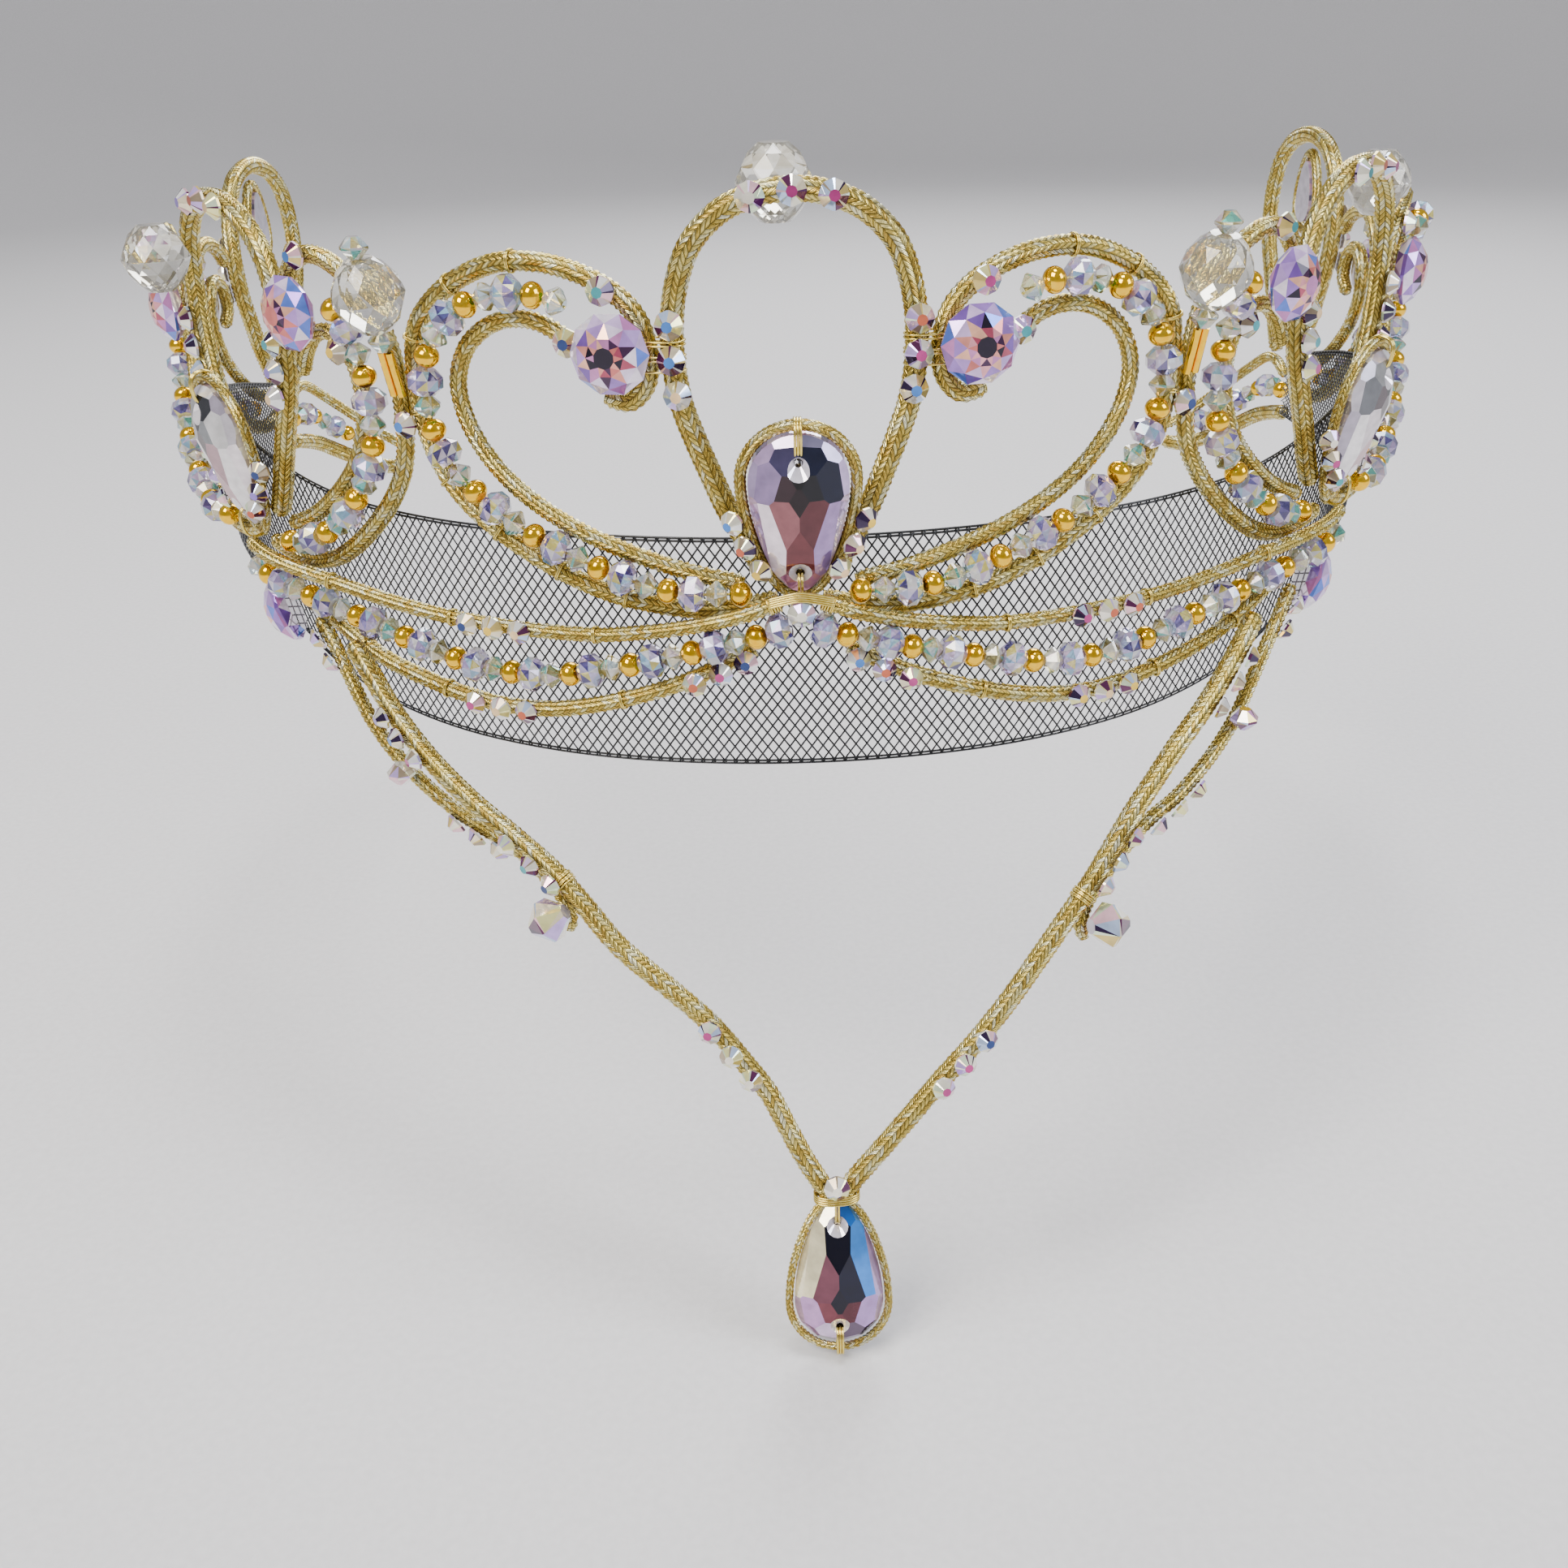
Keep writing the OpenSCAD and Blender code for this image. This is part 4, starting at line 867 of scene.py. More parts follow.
# a flat-backed stone stands where its solid does, wide face down
def stoneMatrix(points):
    middle = points.mean(0)
    spread = np.linalg.eigh(np.cov((points - middle).T))[1]
    axis = spread[:, 0]
    high = (points - middle) @ axis
    low = points[high < high.mean()]
    top = points[high >= high.mean()]
    if np.linalg.norm(low - low.mean(0), axis=1).max() < np.linalg.norm(top - top.mean(0), axis=1).max():
        axis, low = -axis, top
    base = low.mean(0)
    x = unit(low[0] - base)
    return axesMatrix(x, np.cross(axis, x), axis, base)


# largest width of a small stone, and the stones on the front limb of each rear peak
flatSettings = {"smallTo": 3, "limb": -12.4, "limbHeights": (26.2, 22.8, 19.4), "limbOut": 1.4}


def makeFlatStones():
    s = flatSettings
    for seed, where in enumerate(("front", "side", "vee", "swag")):
        node = where + "_flat_stones"
        parts = []
        for points in solidsOf(node):
            matrix = stoneMatrix(points)
            width = 2 * np.linalg.norm(points - np.array(matrix.translation), axis=1).max()
            parts.append(("flat" if width > s["smallTo"] else "smallFlat", matrix, "aurora", "aurora"))
        joinCopies("cut_" + node, parts, [node], 11 + seed)
    parts = []
    for z in s["limbHeights"]:
        seat = seated(rearAt + s["limb"], z, s["limbOut"])
        parts += [("flat", seat, "aurora", "aurora"), ("flat", mirrored(seat), "aurora", "aurora")]
    joinCopies("cut_rear_limb_stones", parts, [], 19)


makeFlatStones()
print("flat-backed stones set")


# gold bead, bicone and rondelle by turns: model, finish, palette and the length each takes
beadOrder = [("goldBead", "bead", "plain", 2.42), ("bicone", "bicone", "bicone", 2.26),
             ("rondelle", "rondelle", "rondelle", 2.68)]


def beadsAlong(points, seed, start=0, most=99):
    s, q, t, u, v = framesAlong(points)
    draw = random.Random(seed)
    used, chosen, number = 0, [], start
    while True:
        size = beadOrder[number % 3][3]
        if used + size > s[-1] or len(chosen) == most:
            break
        chosen.append((number % 3, used + size / 2))
        used += size
        number += 1
    spare = (s[-1] - used) / max(len(chosen), 1)
    parts = []
    for order, (which, at) in enumerate(chosen):
        at += spare * (order + 0.5)
        k = min(int(at / s[-1] * (len(s) - 1)), len(s) - 1)
        kind, finish, palette, size = beadOrder[which]
        spin = draw.uniform(0, math.pi)
        x = u[k] * math.cos(spin) + v[k] * math.sin(spin)
        matrix = axesMatrix(x, np.cross(t[k], x), t[k], q[k])
        parts.append((kind, matrix, finish, palette))
    return parts


def makeStrings():
    front, swag, tail = (onRing(routes[name]) for name in ("string", "swagString", "tailString"))
    near = onRing(forward(routes["nearString"], sideAt))
    far = onRing(lifted(backward(routes["string"], sideAt, farWidth), sideTop))
    rear = onRing(forward(routes["rearString"], rearAt))
    strings = [("front_right", beadsAlong(front, 1, most=26), "front_right_string", 21),
               ("front_left", beadsAlong(toLeft(front), 2, most=26), "front_left_string", 22)]
    for side, turnOver, seed in (("right", np.array, 30), ("left", toLeft, 40)):
        both = beadsAlong(turnOver(near), seed) + beadsAlong(turnOver(far), seed + 1)
        strings.append((side + "_side", both, side + "_side_strings", seed + 2))
        one = beadsAlong(turnOver(swag), seed + 3, 2)
        strings.append((side + "_swag", one, side + "_swag_string", seed + 4))
    rearParts = []
    for turnOver, seed in ((np.array, 51), (toLeft, 53)):
        rearParts += beadsAlong(turnOver(rear), seed) + beadsAlong(turnOver(tail), seed + 1)
    strings.append(("rear", rearParts, "rear_strings", 55))
    for name, parts, node, seed in strings:
        joinCopies("beads_" + name, parts, [node], seed)


makeStrings()
print("bead strings threaded")


def middleOf(points):
    return (points.max(0) + points.min(0)) / 2


# round foiled stones: place round the wall from its peak, and height
roundSettings = {
    "front": (18.3, 26.5), "near": (-16.9, 28.6), "rear": (-21.6, 19.8), "out": 1.25,
    "vee": {"a": 67.8, "z": -7.8, "out": 1.9, "lean": 40, "turn": -30}}


def roundPiece(node, matrices, seed):
    parts = [("round", matrix, "lilac", "lilac") for matrix in matrices]
    joinCopies("cut_" + node, parts, [node], seed)


def makeRoundStones():
    s = roundSettings
    (a, z), (nearBy, nearHigh), (rearBy, rearHigh) = s["front"], s["near"], s["rear"]
    singles = {
        "front_right_round_stone": seated(a, z, s["out"]),
        "right_near_round_stone": seated(sideAt + nearBy, nearHigh, s["out"]),
        "right_far_round_stone": seated(sideAt + farWidth * a, lowLine + (z - lowLine) * sideTop, s["out"]),
    }
    for seed, (node, matrix) in enumerate(singles.items()):
        roundPiece(node, [matrix], 60 + seed)
        roundPiece(node.replace("right", "left"), [mirrored(matrix)], 70 + seed)
    rear, vee = seated(rearAt + rearBy, rearHigh, s["out"]), seated(**s["vee"])
    roundPiece("rear_round_stones", [rear, mirrored(rear)], 80)
    roundPiece("vee_round_stones", [vee, mirrored(vee)], 81)


# large clear beads: a turn between one and the next, and the ends of the line that the near ones lie on
clearSettings = {"turn": 18, "nearTop": (43.7, 31, 4.1), "nearFoot": (43.7, 20.9, 1.75)}


def clearPiece(node, matrix, seed):
    joinCopies("cut_" + node, [("clear", matrix, "clear", "clear")], [node], seed)


def makeClearBeads():
    s = clearSettings
    for seed, node in enumerate(("front_top_bead", "left_top_bead", "right_top_bead")):
        low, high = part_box(node)
        middle = (low + high) / 2 / mm
        clearPiece(node, Matrix.Translation(middle) @ turned("Z", s["turn"] * seed), 90 + seed)
    for seed, node in enumerate(("left_near_bead", "right_near_bead")):
        axis = unit(onWall(*s["nearTop"]) - onWall(*s["nearFoot"]))
        if node.startswith("left"):
            axis = toLeft(axis)
        x = unit(np.cross(axis, [0, 1, 0]))
        clearPiece(node, axesMatrix(x, np.cross(axis, x), axis, middleOf(solidsOf(node)[0])), 95 + seed)


# a large bicone's middle and the way that it points, as x and height on the V's sheet
largeBicones = {"left": ((-29.6, -35.2), (-32.4, -37)), "right": ((34.6, -38.6), (37.6, -39))}
# widths that tell the bicones from the gold beads and from the large bicones
smallSettings = {"biconeFrom": 2.75, "largeFrom": 4, "veeScale": 1.12, "largeOut": 1.3}


def makeSmallBeads():
    s = smallSettings
    parts = []
    for points in solidsOf("junction_beads"):
        kind, finish, palette, _ = beadOrder[1 if np.ptp(points, axis=0).max() > s["biconeFrom"] else 0]
        parts.append((kind, Matrix.Translation(Vector(middleOf(points))), finish, palette))
    joinCopies("cut_junction_beads", parts, ["junction_beads"], 100)
    parts = []
    for points in solidsOf("vee_beads"):
        middle = middleOf(points)
        if np.ptp(points, axis=0).max() < s["largeFrom"]:
            matrix = Matrix.Translation(Vector(middle)) @ Matrix.Scale(s["veeScale"], 4)
            parts.append(("bicone", matrix, "aurora", "aurora"))
            continue
        side = "left" if middle[0] < 0 else "right"
        centre, tip = (Vector(onSheet(x, z, s["largeOut"])) for x, z in largeBicones[side])
        axis = (tip - centre).normalized()
        x = axis.cross(Vector((0, 1, 0))).normalized()
        parts.append(("largeBicone", axesMatrix(x, axis.cross(x), axis, centre), "aurora", "aurora"))
    joinCopies("cut_vee_beads", parts, ["vee_beads"], 101)


makeRoundStones()
makeClearBeads()
makeSmallBeads()
print("large beads and round stones set")


# pear outline with its point up, about the middle of its round end
def pearOutline(width, height, sides, more=0.0, shift=0.0):
    found = []
    for i in range(sides):
        t = 2 * math.pi * (i + shift) / sides
        y = math.cos(t)
        r, tip = width / 2 + more, height - width / 2 + more
        found.append((r * math.sin(t), tip * (0.8 * y + 0.2 * y**3) if y > 0 else r * y))
    return found


# a pear stone is cut from its outline by planes. A row: slope of its facets, the share of the outline
# and the height that they rest on, how many there are, and the first one's turn from the point.
# Last, how high the ring's pears stand, how far out, and how far they lean
pearSettings = {
    "width": 10.5, "height": 18, "table": 3.9, "holes": (-6.5, 6.5), "bore": 0.48, "sink": 1.15,
    "blank": 6, "drill": 8, "sinkDepth": 0.7, "sinkRise": 1.2, "flare": 1.5,
    "rows": [(50, 1.0, 1.3, 12, 15), (29, 0.85, 2.24, 8, 22.5), (13, 0.42, 3.49, 6, 0)],
    "high": 10.3, "out": 2.1, "lean": 10}
# tints of the facets, row by row, clockwise from the point, and of the table, a hole's wall and rim: the
# stone's lilac with painted reflections, pale and dark, and painted shade on the hole's wall
pearTintsAndReflections = {
    "front": [
        ["#D6BFE6", "#EBDDF4", "#BFA2D0", "#9C8AB2", "#B79DC8", "#CDB8DC", "#7C7896", "#9C94B4",
         "#C6B0DA", "#DEC8EA", "#CC9FC0", "#EAD0E4"],
        ["#C47E92", "#F4E4F0", "#86729C", "#4A4466", "#1E2238", "#10142A", "#A184B8", "#B5728A"],
        ["#6C343A", "#8E585E", "#2C1A22", "#050509", "#0A0A14", "#5A2C32"],
        ["#1A0D14", "#3A3048", "#EFEAF6"]],
    "side": [
        ["#D6D2DC", "#F2F0F4", "#B2AABC", "#E2DCE8", "#8E8A96", "#C8C0D0", "#F6F4F8", "#A8A0B2",
         "#D9D4DE", "#EFE6EC", "#C2A8B8", "#E8DCE4"],
        ["#C9A8B4", "#F4F0F2", "#6A6C70", "#9EA0A2", "#34363C", "#C8C8CA", "#E9E6E8", "#8C7A84"],
        ["#B08088", "#DAD0D4", "#5A5054", "#1C1C20", "#7C8084", "#A88890"],
        ["#4A4044", "#5A5068", "#F4F0F6"]],
    "pendant": [
        ["#B39AD4", "#5E97DC", "#B59CCE", "#D9C2EA", "#4A3A58", "#A688BE", "#E6D6F2", "#C29CD4",
         "#D8BCE2", "#F1E8C6", "#F8F1D8", "#DCCFA2"],
        ["#1764C0", "#3F8AE0", "#B08CCA", "#56405E", "#DCC4EA", "#BE92C8", "#F2E8C2", "#FAF3D8"],
        ["#07071C", "#0C0E26", "#54222E", "#6E323E", "#763A46", "#6A3848"],
        ["#0C0A1E", "#3A3048", "#EFEAF6"]],
}


def pearPlanes():
    s = pearSettings
    outline = np.array(pearOutline(s["width"], s["height"], 72))
    planes = []
    for row, (slope, share, high, count, first) in enumerate(s["rows"]):
        for number in range(count):
            turn, tip = math.radians(first + 360 / count * number), math.radians(slope)
            way = np.array([math.sin(turn), math.cos(turn)])
            far = outline[(outline @ way).argmax()] * share + [0, s["width"] / 2 - s["height"] / 2]
            normal = np.array([*(way * math.sin(tip)), math.cos(tip)])
            planes.append((np.array([*far, high]), normal, (row, number)))
    planes.append((np.array([0, 0, s["table"]]), np.array([0, 0, 1.0]), (3, 0)))
    return planes


# height of a pear's front over its middle line
def pearHeight(y):
    return min((co @ no - y * no[1]) / no[2] for co, no, _ in pearPlanes())


# an outline moved so that the pear's middle is at the origin
def middled(outline, width, height, z):
    return [(x, y + (width - height) / 2, z) for x, y in outline]


def pearModel(name, holes):
    s = pearSettings
    clearSelection()
    mesh = bpy.data.meshes.new(name)
    outline = pearOutline(s["width"], s["height"], 40)
    mesh.from_pydata(middled(outline, s["width"], s["height"], 0), [], [tuple(range(len(outline)))])
    model = newPiece(name, mesh)
    model.select_set(True)
    bpy.context.view_layer.objects.active = model
    editAll()
    bpy.ops.mesh.extrude_region_move(TRANSFORM_OT_translate={"value": (0, 0, s["blank"])})
    bpy.ops.mesh.select_all(action="SELECT")
    bpy.ops.mesh.normals_make_consistent(inside=False)
    leaveEdit()
    for co, no, _ in pearPlanes():
        settled(model)
        editAll()
        bpy.ops.mesh.bisect(
            plane_co=tuple(co), plane_no=tuple(no), use_fill=True, clear_outer=True, threshold=0.0001)
        leaveEdit()
    settled(model)
    for hole in holes:  # drilled right through, with a countersink at the front
        clearSelection()
        top = pearHeight(hole)
        bpy.ops.mesh.primitive_cylinder_add(
            vertices=20, radius=s["bore"], depth=s["drill"], location=(0, hole, 0))
        cutter = bpy.context.object
        settled(cutter)
        editAll()
        bpy.ops.mesh.bisect(
            plane_co=(0, 0, top - s["sinkDepth"]), plane_no=(0, 0, 1), use_fill=True, clear_outer=True)
        bpy.ops.mesh.extrude_region_move(TRANSFORM_OT_translate={"value": (0, 0, s["sinkRise"])})
        widen = s["sink"] * s["flare"] / s["bore"]
        bpy.ops.transform.resize(value=(widen, widen, 1), center_override=(0, hole, 0))
        leaveEdit()
        settled(cutter)
        clearSelection()
        model.select_set(True)
        bpy.context.view_layer.objects.active = model
        drill = model.modifiers.new("drill", "BOOLEAN")
        drill.operation, drill.object, drill.solver = "DIFFERENCE", cutter, "EXACT"
        bpy.ops.object.modifier_apply(modifier="drill")
        bpy.data.objects.remove(cutter)
        settled(model)
    clearSelection()
    return model


def paintPearTintsAndReflections(mesh, colours):
    planes = pearPlanes()
    holes, nearHole = pearSettings["holes"], tintSettings["nearHole"]
    tints = []
    for face in mesh.polygons:
        normal = np.array(face.normal)
        x, y = face.center[:2]
        facing = max(planes, key=lambda plane: plane[1] @ normal)
        byHole = abs(x) < nearHole and min(abs(y - hole) for hole in holes) < nearHole
        if normal[2] < -0.9:
            choice = foilBack
        elif facing[1] @ normal > tintSettings["match"]:
            choice = colours[facing[2][0]][facing[2][1]]
        # a hole's wall takes a dark tint, painted shade, and its countersunk rim a pale one
        elif byHole and abs(normal[2]) < 0.95:
            choice = colours[3][2] if normal[2] > 0.2 else colours[3][1]
        else:
            choice = colours[0][face.index % 12]
        tints.append(choice)
    paintFaces(mesh, tints)


pearModels = {"drilled": pearModel("model_pear", pearSettings["holes"]), "plain": pearModel("model_drop", ())}


def pearPiece(name, matrix, node, colours, model="drilled"):
    mesh = pearModels[model].data.copy()
    paintPearTintsAndReflections(mesh, pearTintsAndReflections[colours])
    place(mesh, matrix)
    mesh.name = name
    piece = newPiece(name, mesh, "lilac")
    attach(piece, "root")
    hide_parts(node)


# how high a frame lies on its stone, its thickness, its floats, and the gap that the stone sits in
frameSettings = {
    "pear": {"high": 0.6, "thick": 1.3, "gap": 0.12, "pitch": 0.58},
    "pendant": {"high": 1.68, "thick": 1.0, "gap": 0.12, "pitch": 0.58},
    "drop": {"high": 0.8, "thick": 1.5, "gap": 0.4, "pitch": 0.64}}
# the rear drops are the same cut at half the size
dropSettings = {"width": 5.2, "height": 9, "depth": 2.6, "a": 149.6, "z": 28.6, "out": -1.3}


def frameCord(kind, matrix, width, height):
    f = frameSettings[kind]
    outline = middled(pearOutline(width, height, 96, f["thick"] / 2 + f["gap"]), width, height, f["high"])
    form = {"closed": True, "columns": 8, "pitch": f["pitch"], "relief": 0.12}
    return ([matrix @ Vector(p) for p in outline], f["thick"], form)


def pearSeat(a):
    s = pearSettings
    return seated(a, s["high"], s["out"], turn=180) @ turned("X", -s["lean"])


pearPlaces = {"front_pear": pearSeat(0), "right_pear": pearSeat(sideAt), "pendant_pear": hung()}
pearPlaces["left_pear"] = mirrored(pearPlaces["right_pear"])


def makePears():
    s = pearSettings
    for name, matrix in pearPlaces.items():
        pendant = name == "pendant_pear"
        colours = {"front_pear": "front", "pendant_pear": "pendant"}.get(name, "side")
        pearPiece("cut_" + name, matrix, name, colours)
        node = "pendant_frame" if pendant else name + "_frame"
        cord = frameCord("pendant" if pendant else "pear", matrix, s["width"], s["height"])
        braidPiece("braid_" + node, [cord], [node])


def makeRearDrops():
    s, d = pearSettings, dropSettings
    drop = seated(d["a"], d["z"], d["out"])
    smaller = Matrix.Diagonal((d["width"] / s["width"], d["height"] / s["height"], d["depth"] / s["table"], 1))
    cords = []
    for side, matrix in (("right", drop), ("left", mirrored(drop))):
        pearPiece("cut_" + side + "_rear_drop", matrix @ smaller, "rear_drops", "front", "plain")
        cords.append(frameCord("drop", matrix, d["width"], d["height"]))
    braidPiece("braid_rear_drops", cords, ["rear_drops"])


makePears()
makeRearDrops()
print("pear stones set in their frames")


# gold wire: closed loops through the stones' holes and round the cords, and bindings of thread.
# A row of turns: the cord, where along it, how many side by side, and their share of the thread's width
wireSettings = {
    "wire": 0.3, "thread": 0.24, "sides": 7, "square": 2.5, "press": 0.35, "apart": 1.15,
    "pear": {"reach": 10.6, "pointReach": 10.6, "deep": 3.2},
    "pendant": {"reach": 10.3, "pointReach": 11.3, "deep": 3.6},
    "lift": -0.35, "atPoint": (-0.17, 0.17), "atRoundEnd": (-0.3, 0, 0.3),
    "turns": [
        ("swagTop", [0.009], 5, 1), ("outer", [0.09, 0.17, 0.25, 0.33, 0.41, 0.49, 0.57, 0.65, 0.73], 2, 0.8),
        ("swagLow", [0.25, 0.6, 0.8], 2, 0.8), ("swagTop", [0.3, 0.55, 0.8], 2, 0.8)],
    "across": ((3.3, 1.0, 5.0), (1.7, 1.45, 5.15), (0, 1.75, 5.2)),
    "scrollTies": {"heights": (27.5, 27.1, 26.0, 25.6, 24.5), "middle": 13.75, "side": 16.35, "out": 1.45},
    "pointTies": {"count": 4, "low": -66.7, "middle": 2.3, "side": 4.9, "out": 1.42, "apart": 1.1},
    "veeTurns": ((1, 0.44), (2, 0.47)), "veeThread": 0.9}


def loopRound(centre, a, b, points=40):
    power = 2 / wireSettings["square"]
    found = []
    for k in range(points):
        c, n = math.cos(2 * math.pi * k / points), math.sin(2 * math.pi * k / points)
        found.append(np.array(centre) + np.copysign(abs(c) ** power, c) * np.array(a)
                     + np.copysign(abs(n) ** power, n) * np.array(b))
    return found


def wireTube(points, diameter, closed=True):
    s, q, t, u, v = framesAlong(points, closed, step=0.2)
    return roundTube(q, u, v, diameter, wireSettings["sides"], closed)


# loops side by side round a cord, at shares of its length
def turnsRound(route, diameter, shares, turns, thick):
    s, q, t, u, v = framesAlong(route)
    r = diameter / 2 + thick * wireSettings["press"]
    found = []
    for share in shares:
        for turn in range(turns):
            at = share + (turn - (turns - 1) / 2) * thick * wireSettings["apart"] / s[-1]
            k = min(max(int(at * (len(s) - 1)), 0), len(s) - 1)
            found.append((loopRound(q[k], u[k] * r, v[k] * r, 24), thick))
    return found


# a loop from its middle, its side and its front, on the wall or on the V's sheet
def tie(middle, side, front, turnOver=np.array):
    return loopRound(turnOver(middle), turnOver(side - middle), turnOver(front - middle))


def makeBindings():
    s = wireSettings
    wire, thread = s["wire"], s["thread"]
    loops = []
    # wires through the pears' holes, over their frames
    for name, matrix in pearPlaces.items():
        w = s["pendant" if name == "pendant_pear" else "pear"]
        turn, deep = np.array(matrix.to_3x3()), w["deep"] / 2
        for hole in pearSettings["holes"]:
            reach = w["pointReach"] if hole > 0 else w["reach"]
            y = math.copysign((abs(hole) + reach) / 2, hole)
            for x in s["atPoint"] if hole > 0 else s["atRoundEnd"]:
                middle = np.array(matrix @ Vector((x, y, deep + s["lift"])))
                side, front = turn @ [0, (reach - abs(hole)) / 2, 0], turn @ [0, 0, deep]
                loops.append((loopRound(middle, side, front), wire))
    # thread round the cords, and across between their ends at the middle of the front
    for turnOver in (np.array, toLeft):
        for name, shares, turns, share in s["turns"]:
            loops += turnsRound(turnOver(onRing(routes[name])), cordSizes[name], shares, turns, thread * share)
    for k in range(5):
        across = [onWall(a, z + (k - 2) * thread, out) for a, z, out in s["across"]]
        points = smooth([toLeft(p) for p in across[:2]] + [across[2]] + across[1::-1], 30)
        loops.append((points, thread, False))
    # thread that ties each front scroll to the peak's limb
    ties = s["scrollTies"]
    for z in ties["heights"]:
        places = ((ties["middle"], 0), (ties["side"], 0), (ties["middle"], ties["out"]))
        middle, side, front = (onWall(a, z, out) for a, out in places)
        for turnOver in (np.array, toLeft):
            loops.append((tie(middle, side, front, turnOver), thread))
    # the V's ends over the pendant's frame, and turns round its strands beside the hooks
    ties = s["pointTies"]
    for row in range(ties["count"]):
        z = row * thread * ties["apart"] + ties["low"]
        places = ((ties["middle"], 0), (ties["side"], 0), (ties["middle"], ties["out"]))
        middle, side, front = (onSheet(x, z, out) for x, out in places)
        loops.append((tie(middle, side, front), thread))
    for column, share in s["veeTurns"]:
        strand = veeRoute(veeFront, column, 0)
        loops += turnsRound(strand, cordSizes["vee"], [share], 5, thread * s["veeThread"])
    tubes = [wireTube(points, thick, not more) for points, thick, *more in loops]
    piece = newPiece("wire_bindings", meshOf("wire_bindings", *gathered(tubes)), "wire")
    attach(piece, "root")


makeBindings()
print("wires and thread bindings made")


# black diamond net: two families of filaments on the wall, with an edge thread above and below.
# A row: place round the wall, and heights of the upper and lower edge. The filament is drawn a
# little thicker than the real one so that it shows
netSettings = {
    "rows": [[0, 6, -21], [30, 6, -21], [50, 6, -20], [66, 7, -17], [80, 10, -11], [100, 12, -7],
             [120, 10, -6], [147, 4, -5.5]],
    "evenedOver": (-9, -6, -3, 0, 3, 6, 9), "out": -2.1, "spacing": 1.3, "lean": 20, "thick": 0.21,
    "parts": 10, "sides": 4, "edgeThick": 1.4, "edgeApart": 0.35, "edgeParts": 220}


def netEdges(a):
    far, top, low = zip(*netSettings["rows"])
    near = [abs(abs(a) + d) for d in netSettings["evenedOver"]]  # the edges run in even curves
    return np.interp(near, far, top).mean(), np.interp(near, far, low).mean()


def filament(points, thick):
    p = np.array(points)
    t = unit(np.gradient(p, axis=0))
    u = unit(np.cross(t, [0, 0, 1.0]) + 1e-6)
    return roundTube(p, u, np.cross(t, u), thick, netSettings["sides"])


def makeNet():
    s = netSettings
    end, lean, out, thick = s["rows"][-1][0], s["lean"], s["out"], s["thick"]
    runs = []
    count = int((2 * end + 2 * lean) / s["spacing"])
    for way in (1, -1):
        for number in range(count + 1):
            foot = -end - lean + number * s["spacing"]
            points = []
            for part in range(s["parts"] + 1):
                share = part / s["parts"]
                a = foot + lean * (share if way == 1 else 1 - share)
                if abs(a) <= end:
                    top, low = netEdges(a)
                    points.append(onWall(a, low + (top - low) * share, out + way * thick * 0.5))
            if len(points) > 1:
                runs.append((points, thick))
    for edge in (0, 1):
        for offset in (0, s["edgeApart"]):
            points = [onWall(a, netEdges(a)[edge] + (offset if edge else -offset), out) for a in
                      np.linspace(-end, end, s["edgeParts"])]
            runs.append((points, thick * s["edgeThick"]))
    total = sum(np.linalg.norm(np.diff(np.array(points), axis=0), axis=1).sum() for points, _ in runs)
    tubes = [filament(*run) for run in runs]
    piece = newPiece("net_band_mesh", meshOf("net_band_mesh", *gathered(tubes)), "net")
    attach(piece, "root")
    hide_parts("net_band")
    print("net filament, in metres:", round(total / 1000, 2))
    return piece


net = makeNet()
print("net band made")


# carried-over solids keep their shape and take a real finish
def dressNodes():
    for node, finish in (("junction_sticks", "bead"), ("string_threads", "wire")):
        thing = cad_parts[node]
        thing.data.materials.clear()
        thing.data.materials.append(finishes[finish])


dressNodes()
for model in [*models.values(), *pearModels.values()]:
    bpy.data.objects.remove(model)


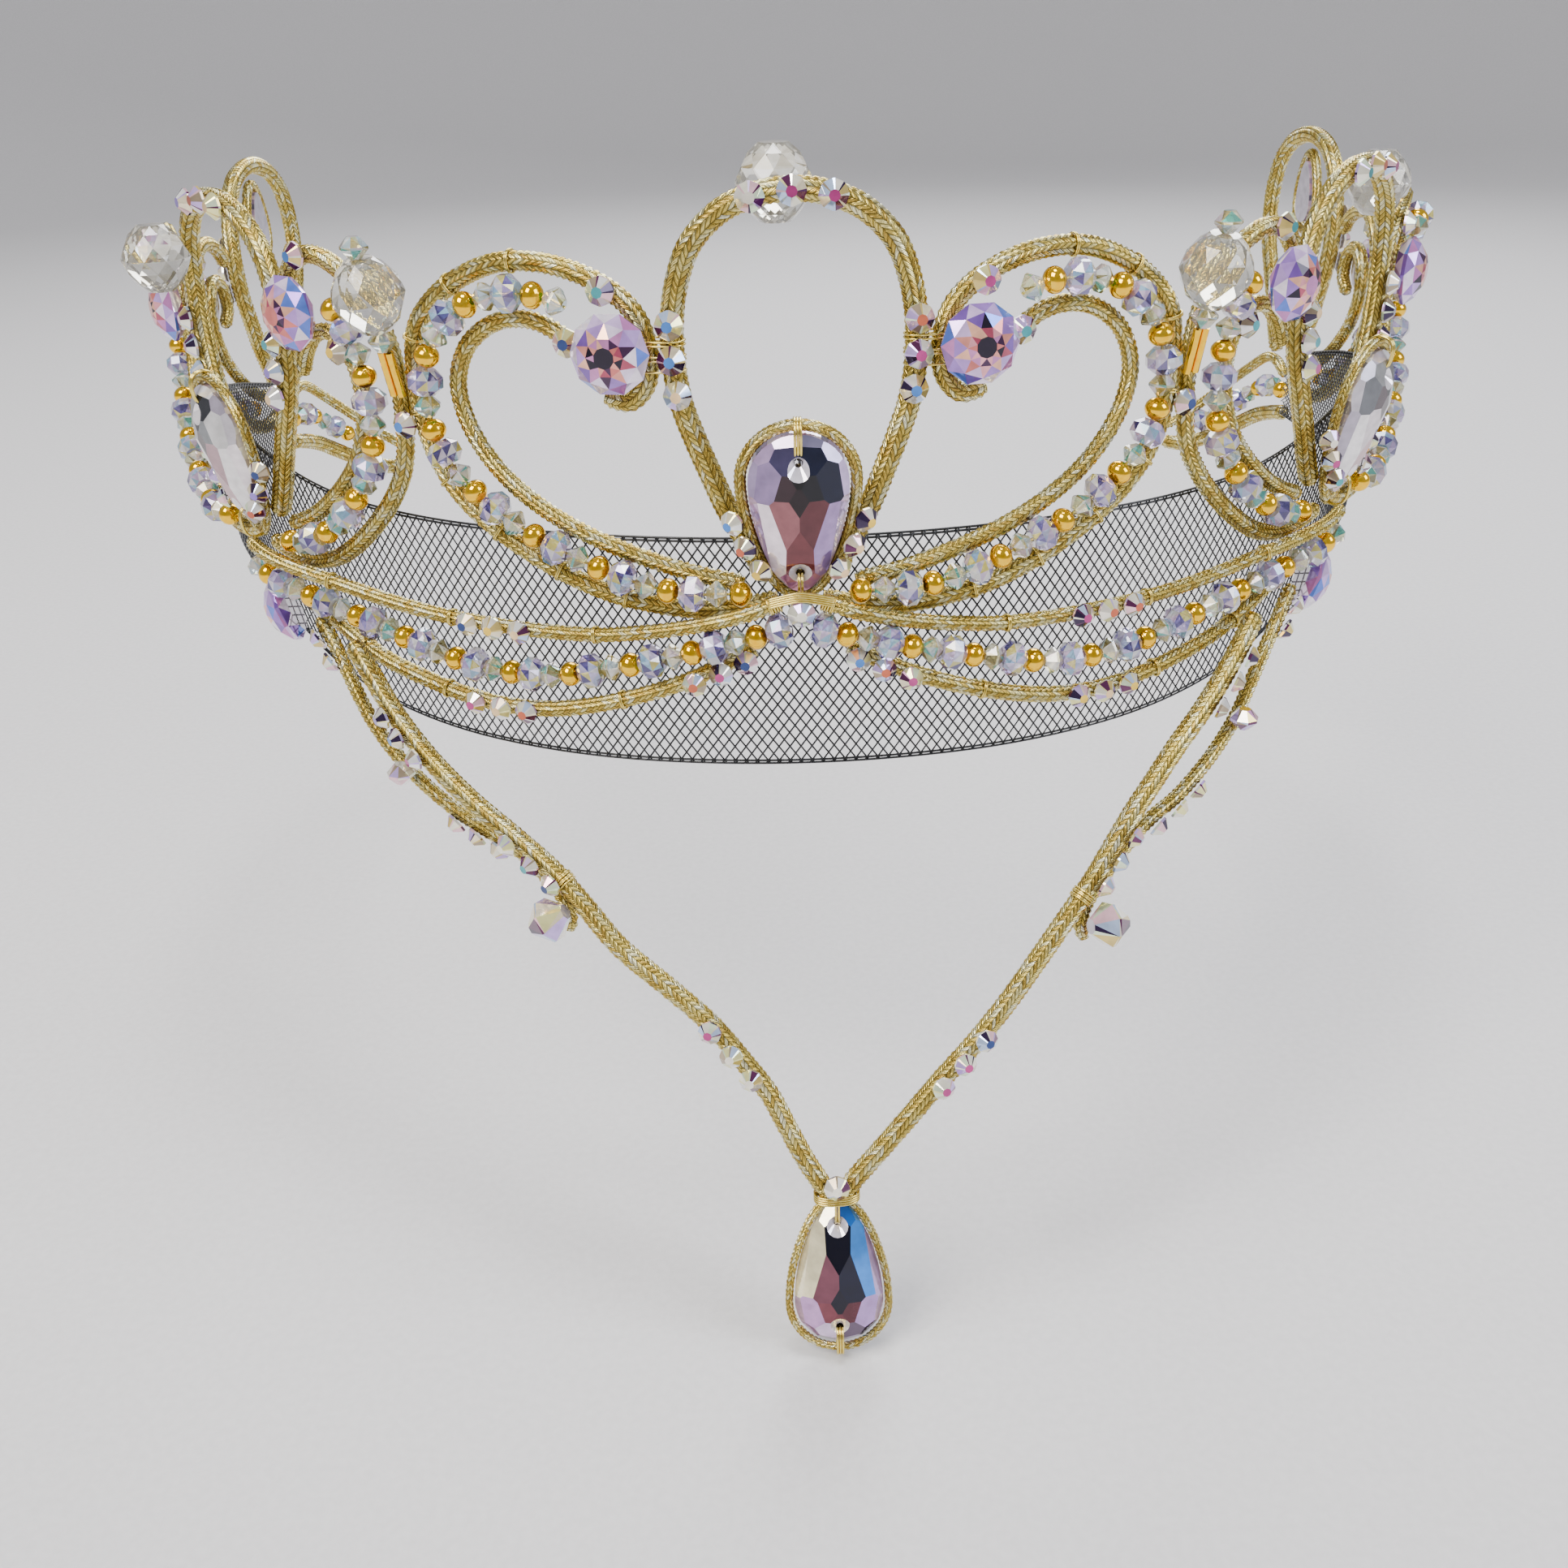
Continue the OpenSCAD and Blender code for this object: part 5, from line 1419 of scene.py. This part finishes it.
# plain pale floor under the pendant, and soft studio light
def makeStudio():
    settings = {
        "floorDrop": 0.5, "floorRadius": 1.2, "corners": 96, "coveRadius": 0.6, "coveSteps": 14,
        "wallHeight": 0.5, "worldColour": "#E4E6EA", "world": 0.6,
        "lights": [
            {"name": "keyLight", "place": (-0.45, -0.55, 0.75), "size": 0.5, "power": 11, "colour": "#FFF8EE"},
            {"name": "fillLight", "place": (0.7, -0.35, 0.45), "size": 0.45, "power": 5, "colour": "#EEF3FF"},
            {"name": "rimLight", "place": (0.15, 0.75, 0.6), "size": 0.5, "power": 7, "colour": "#FFFFFF"},
            {"name": "topLight", "place": (0.0, -0.05, 0.8), "size": 0.25, "power": 4, "colour": "#FFFFFF"}]}
    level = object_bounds()[0].z - settings["floorDrop"] * mm
    radius, cove, steps = settings["floorRadius"], settings["coveRadius"], settings["coveSteps"]
    clearSelection()
    bpy.ops.mesh.primitive_circle_add(
        vertices=settings["corners"], radius=radius, fill_type="NGON", location=(0, 0, level))
    floor = bpy.context.object
    floor.name = "floor"
    editAll()
    for step in range(1, steps + 1):  # the floor turns up into a round wall, with no edge to see
        before, after = (math.pi / 2 * (step - k) / steps for k in (1, 0))
        rise = cove * (math.cos(before) - math.cos(after))
        wide = radius + cove * math.sin(after)
        bpy.ops.mesh.extrude_region_move(TRANSFORM_OT_translate={"value": (0, 0, rise)})
        scale = wide / (radius + cove * math.sin(before))
        bpy.ops.transform.resize(value=(scale, scale, 1), center_override=(0, 0, 0))
    bpy.ops.mesh.extrude_region_move(TRANSFORM_OT_translate={"value": (0, 0, settings["wallHeight"])})
    bpy.ops.mesh.delete(type="ONLY_FACE")
    leaveEdit()
    bpy.ops.object.shade_smooth()
    material, tree, shader = newMaterial("paleFloor", {"Roughness": 0.9})
    addMottle(tree, shader, scale=900, detail=2, stops=[(0.3, "#CFCED0"), (0.7, "#D6D5D7")])
    floor.data.materials.append(material)
    floor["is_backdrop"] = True
    world = bpy.data.worlds.new("studio")
    world.use_nodes = True
    background = world.node_tree.nodes["Background"]
    background.inputs[0].default_value = linear(settings["worldColour"])
    background.inputs[1].default_value = settings["world"]
    bpy.context.scene.world = world
    for light in settings["lights"]:
        data = bpy.data.lights.new(light["name"], "AREA")
        data.shape, data.size, data.energy = "SQUARE", light["size"], light["power"]
        data.color = linear(light["colour"])[:3]
        lamp = bpy.data.objects.new(light["name"], data)
        bpy.context.scene.collection.objects.link(lamp)
        lamp.location = light["place"]
        lamp.rotation_euler = (Vector((0, 0, 0)) - Vector(light["place"])).to_track_quat("-Z", "Y").to_euler()


makeStudio()
faces = sum(len(o.data.polygons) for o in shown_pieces() if o.type == "MESH")
print("faces in all:", faces)
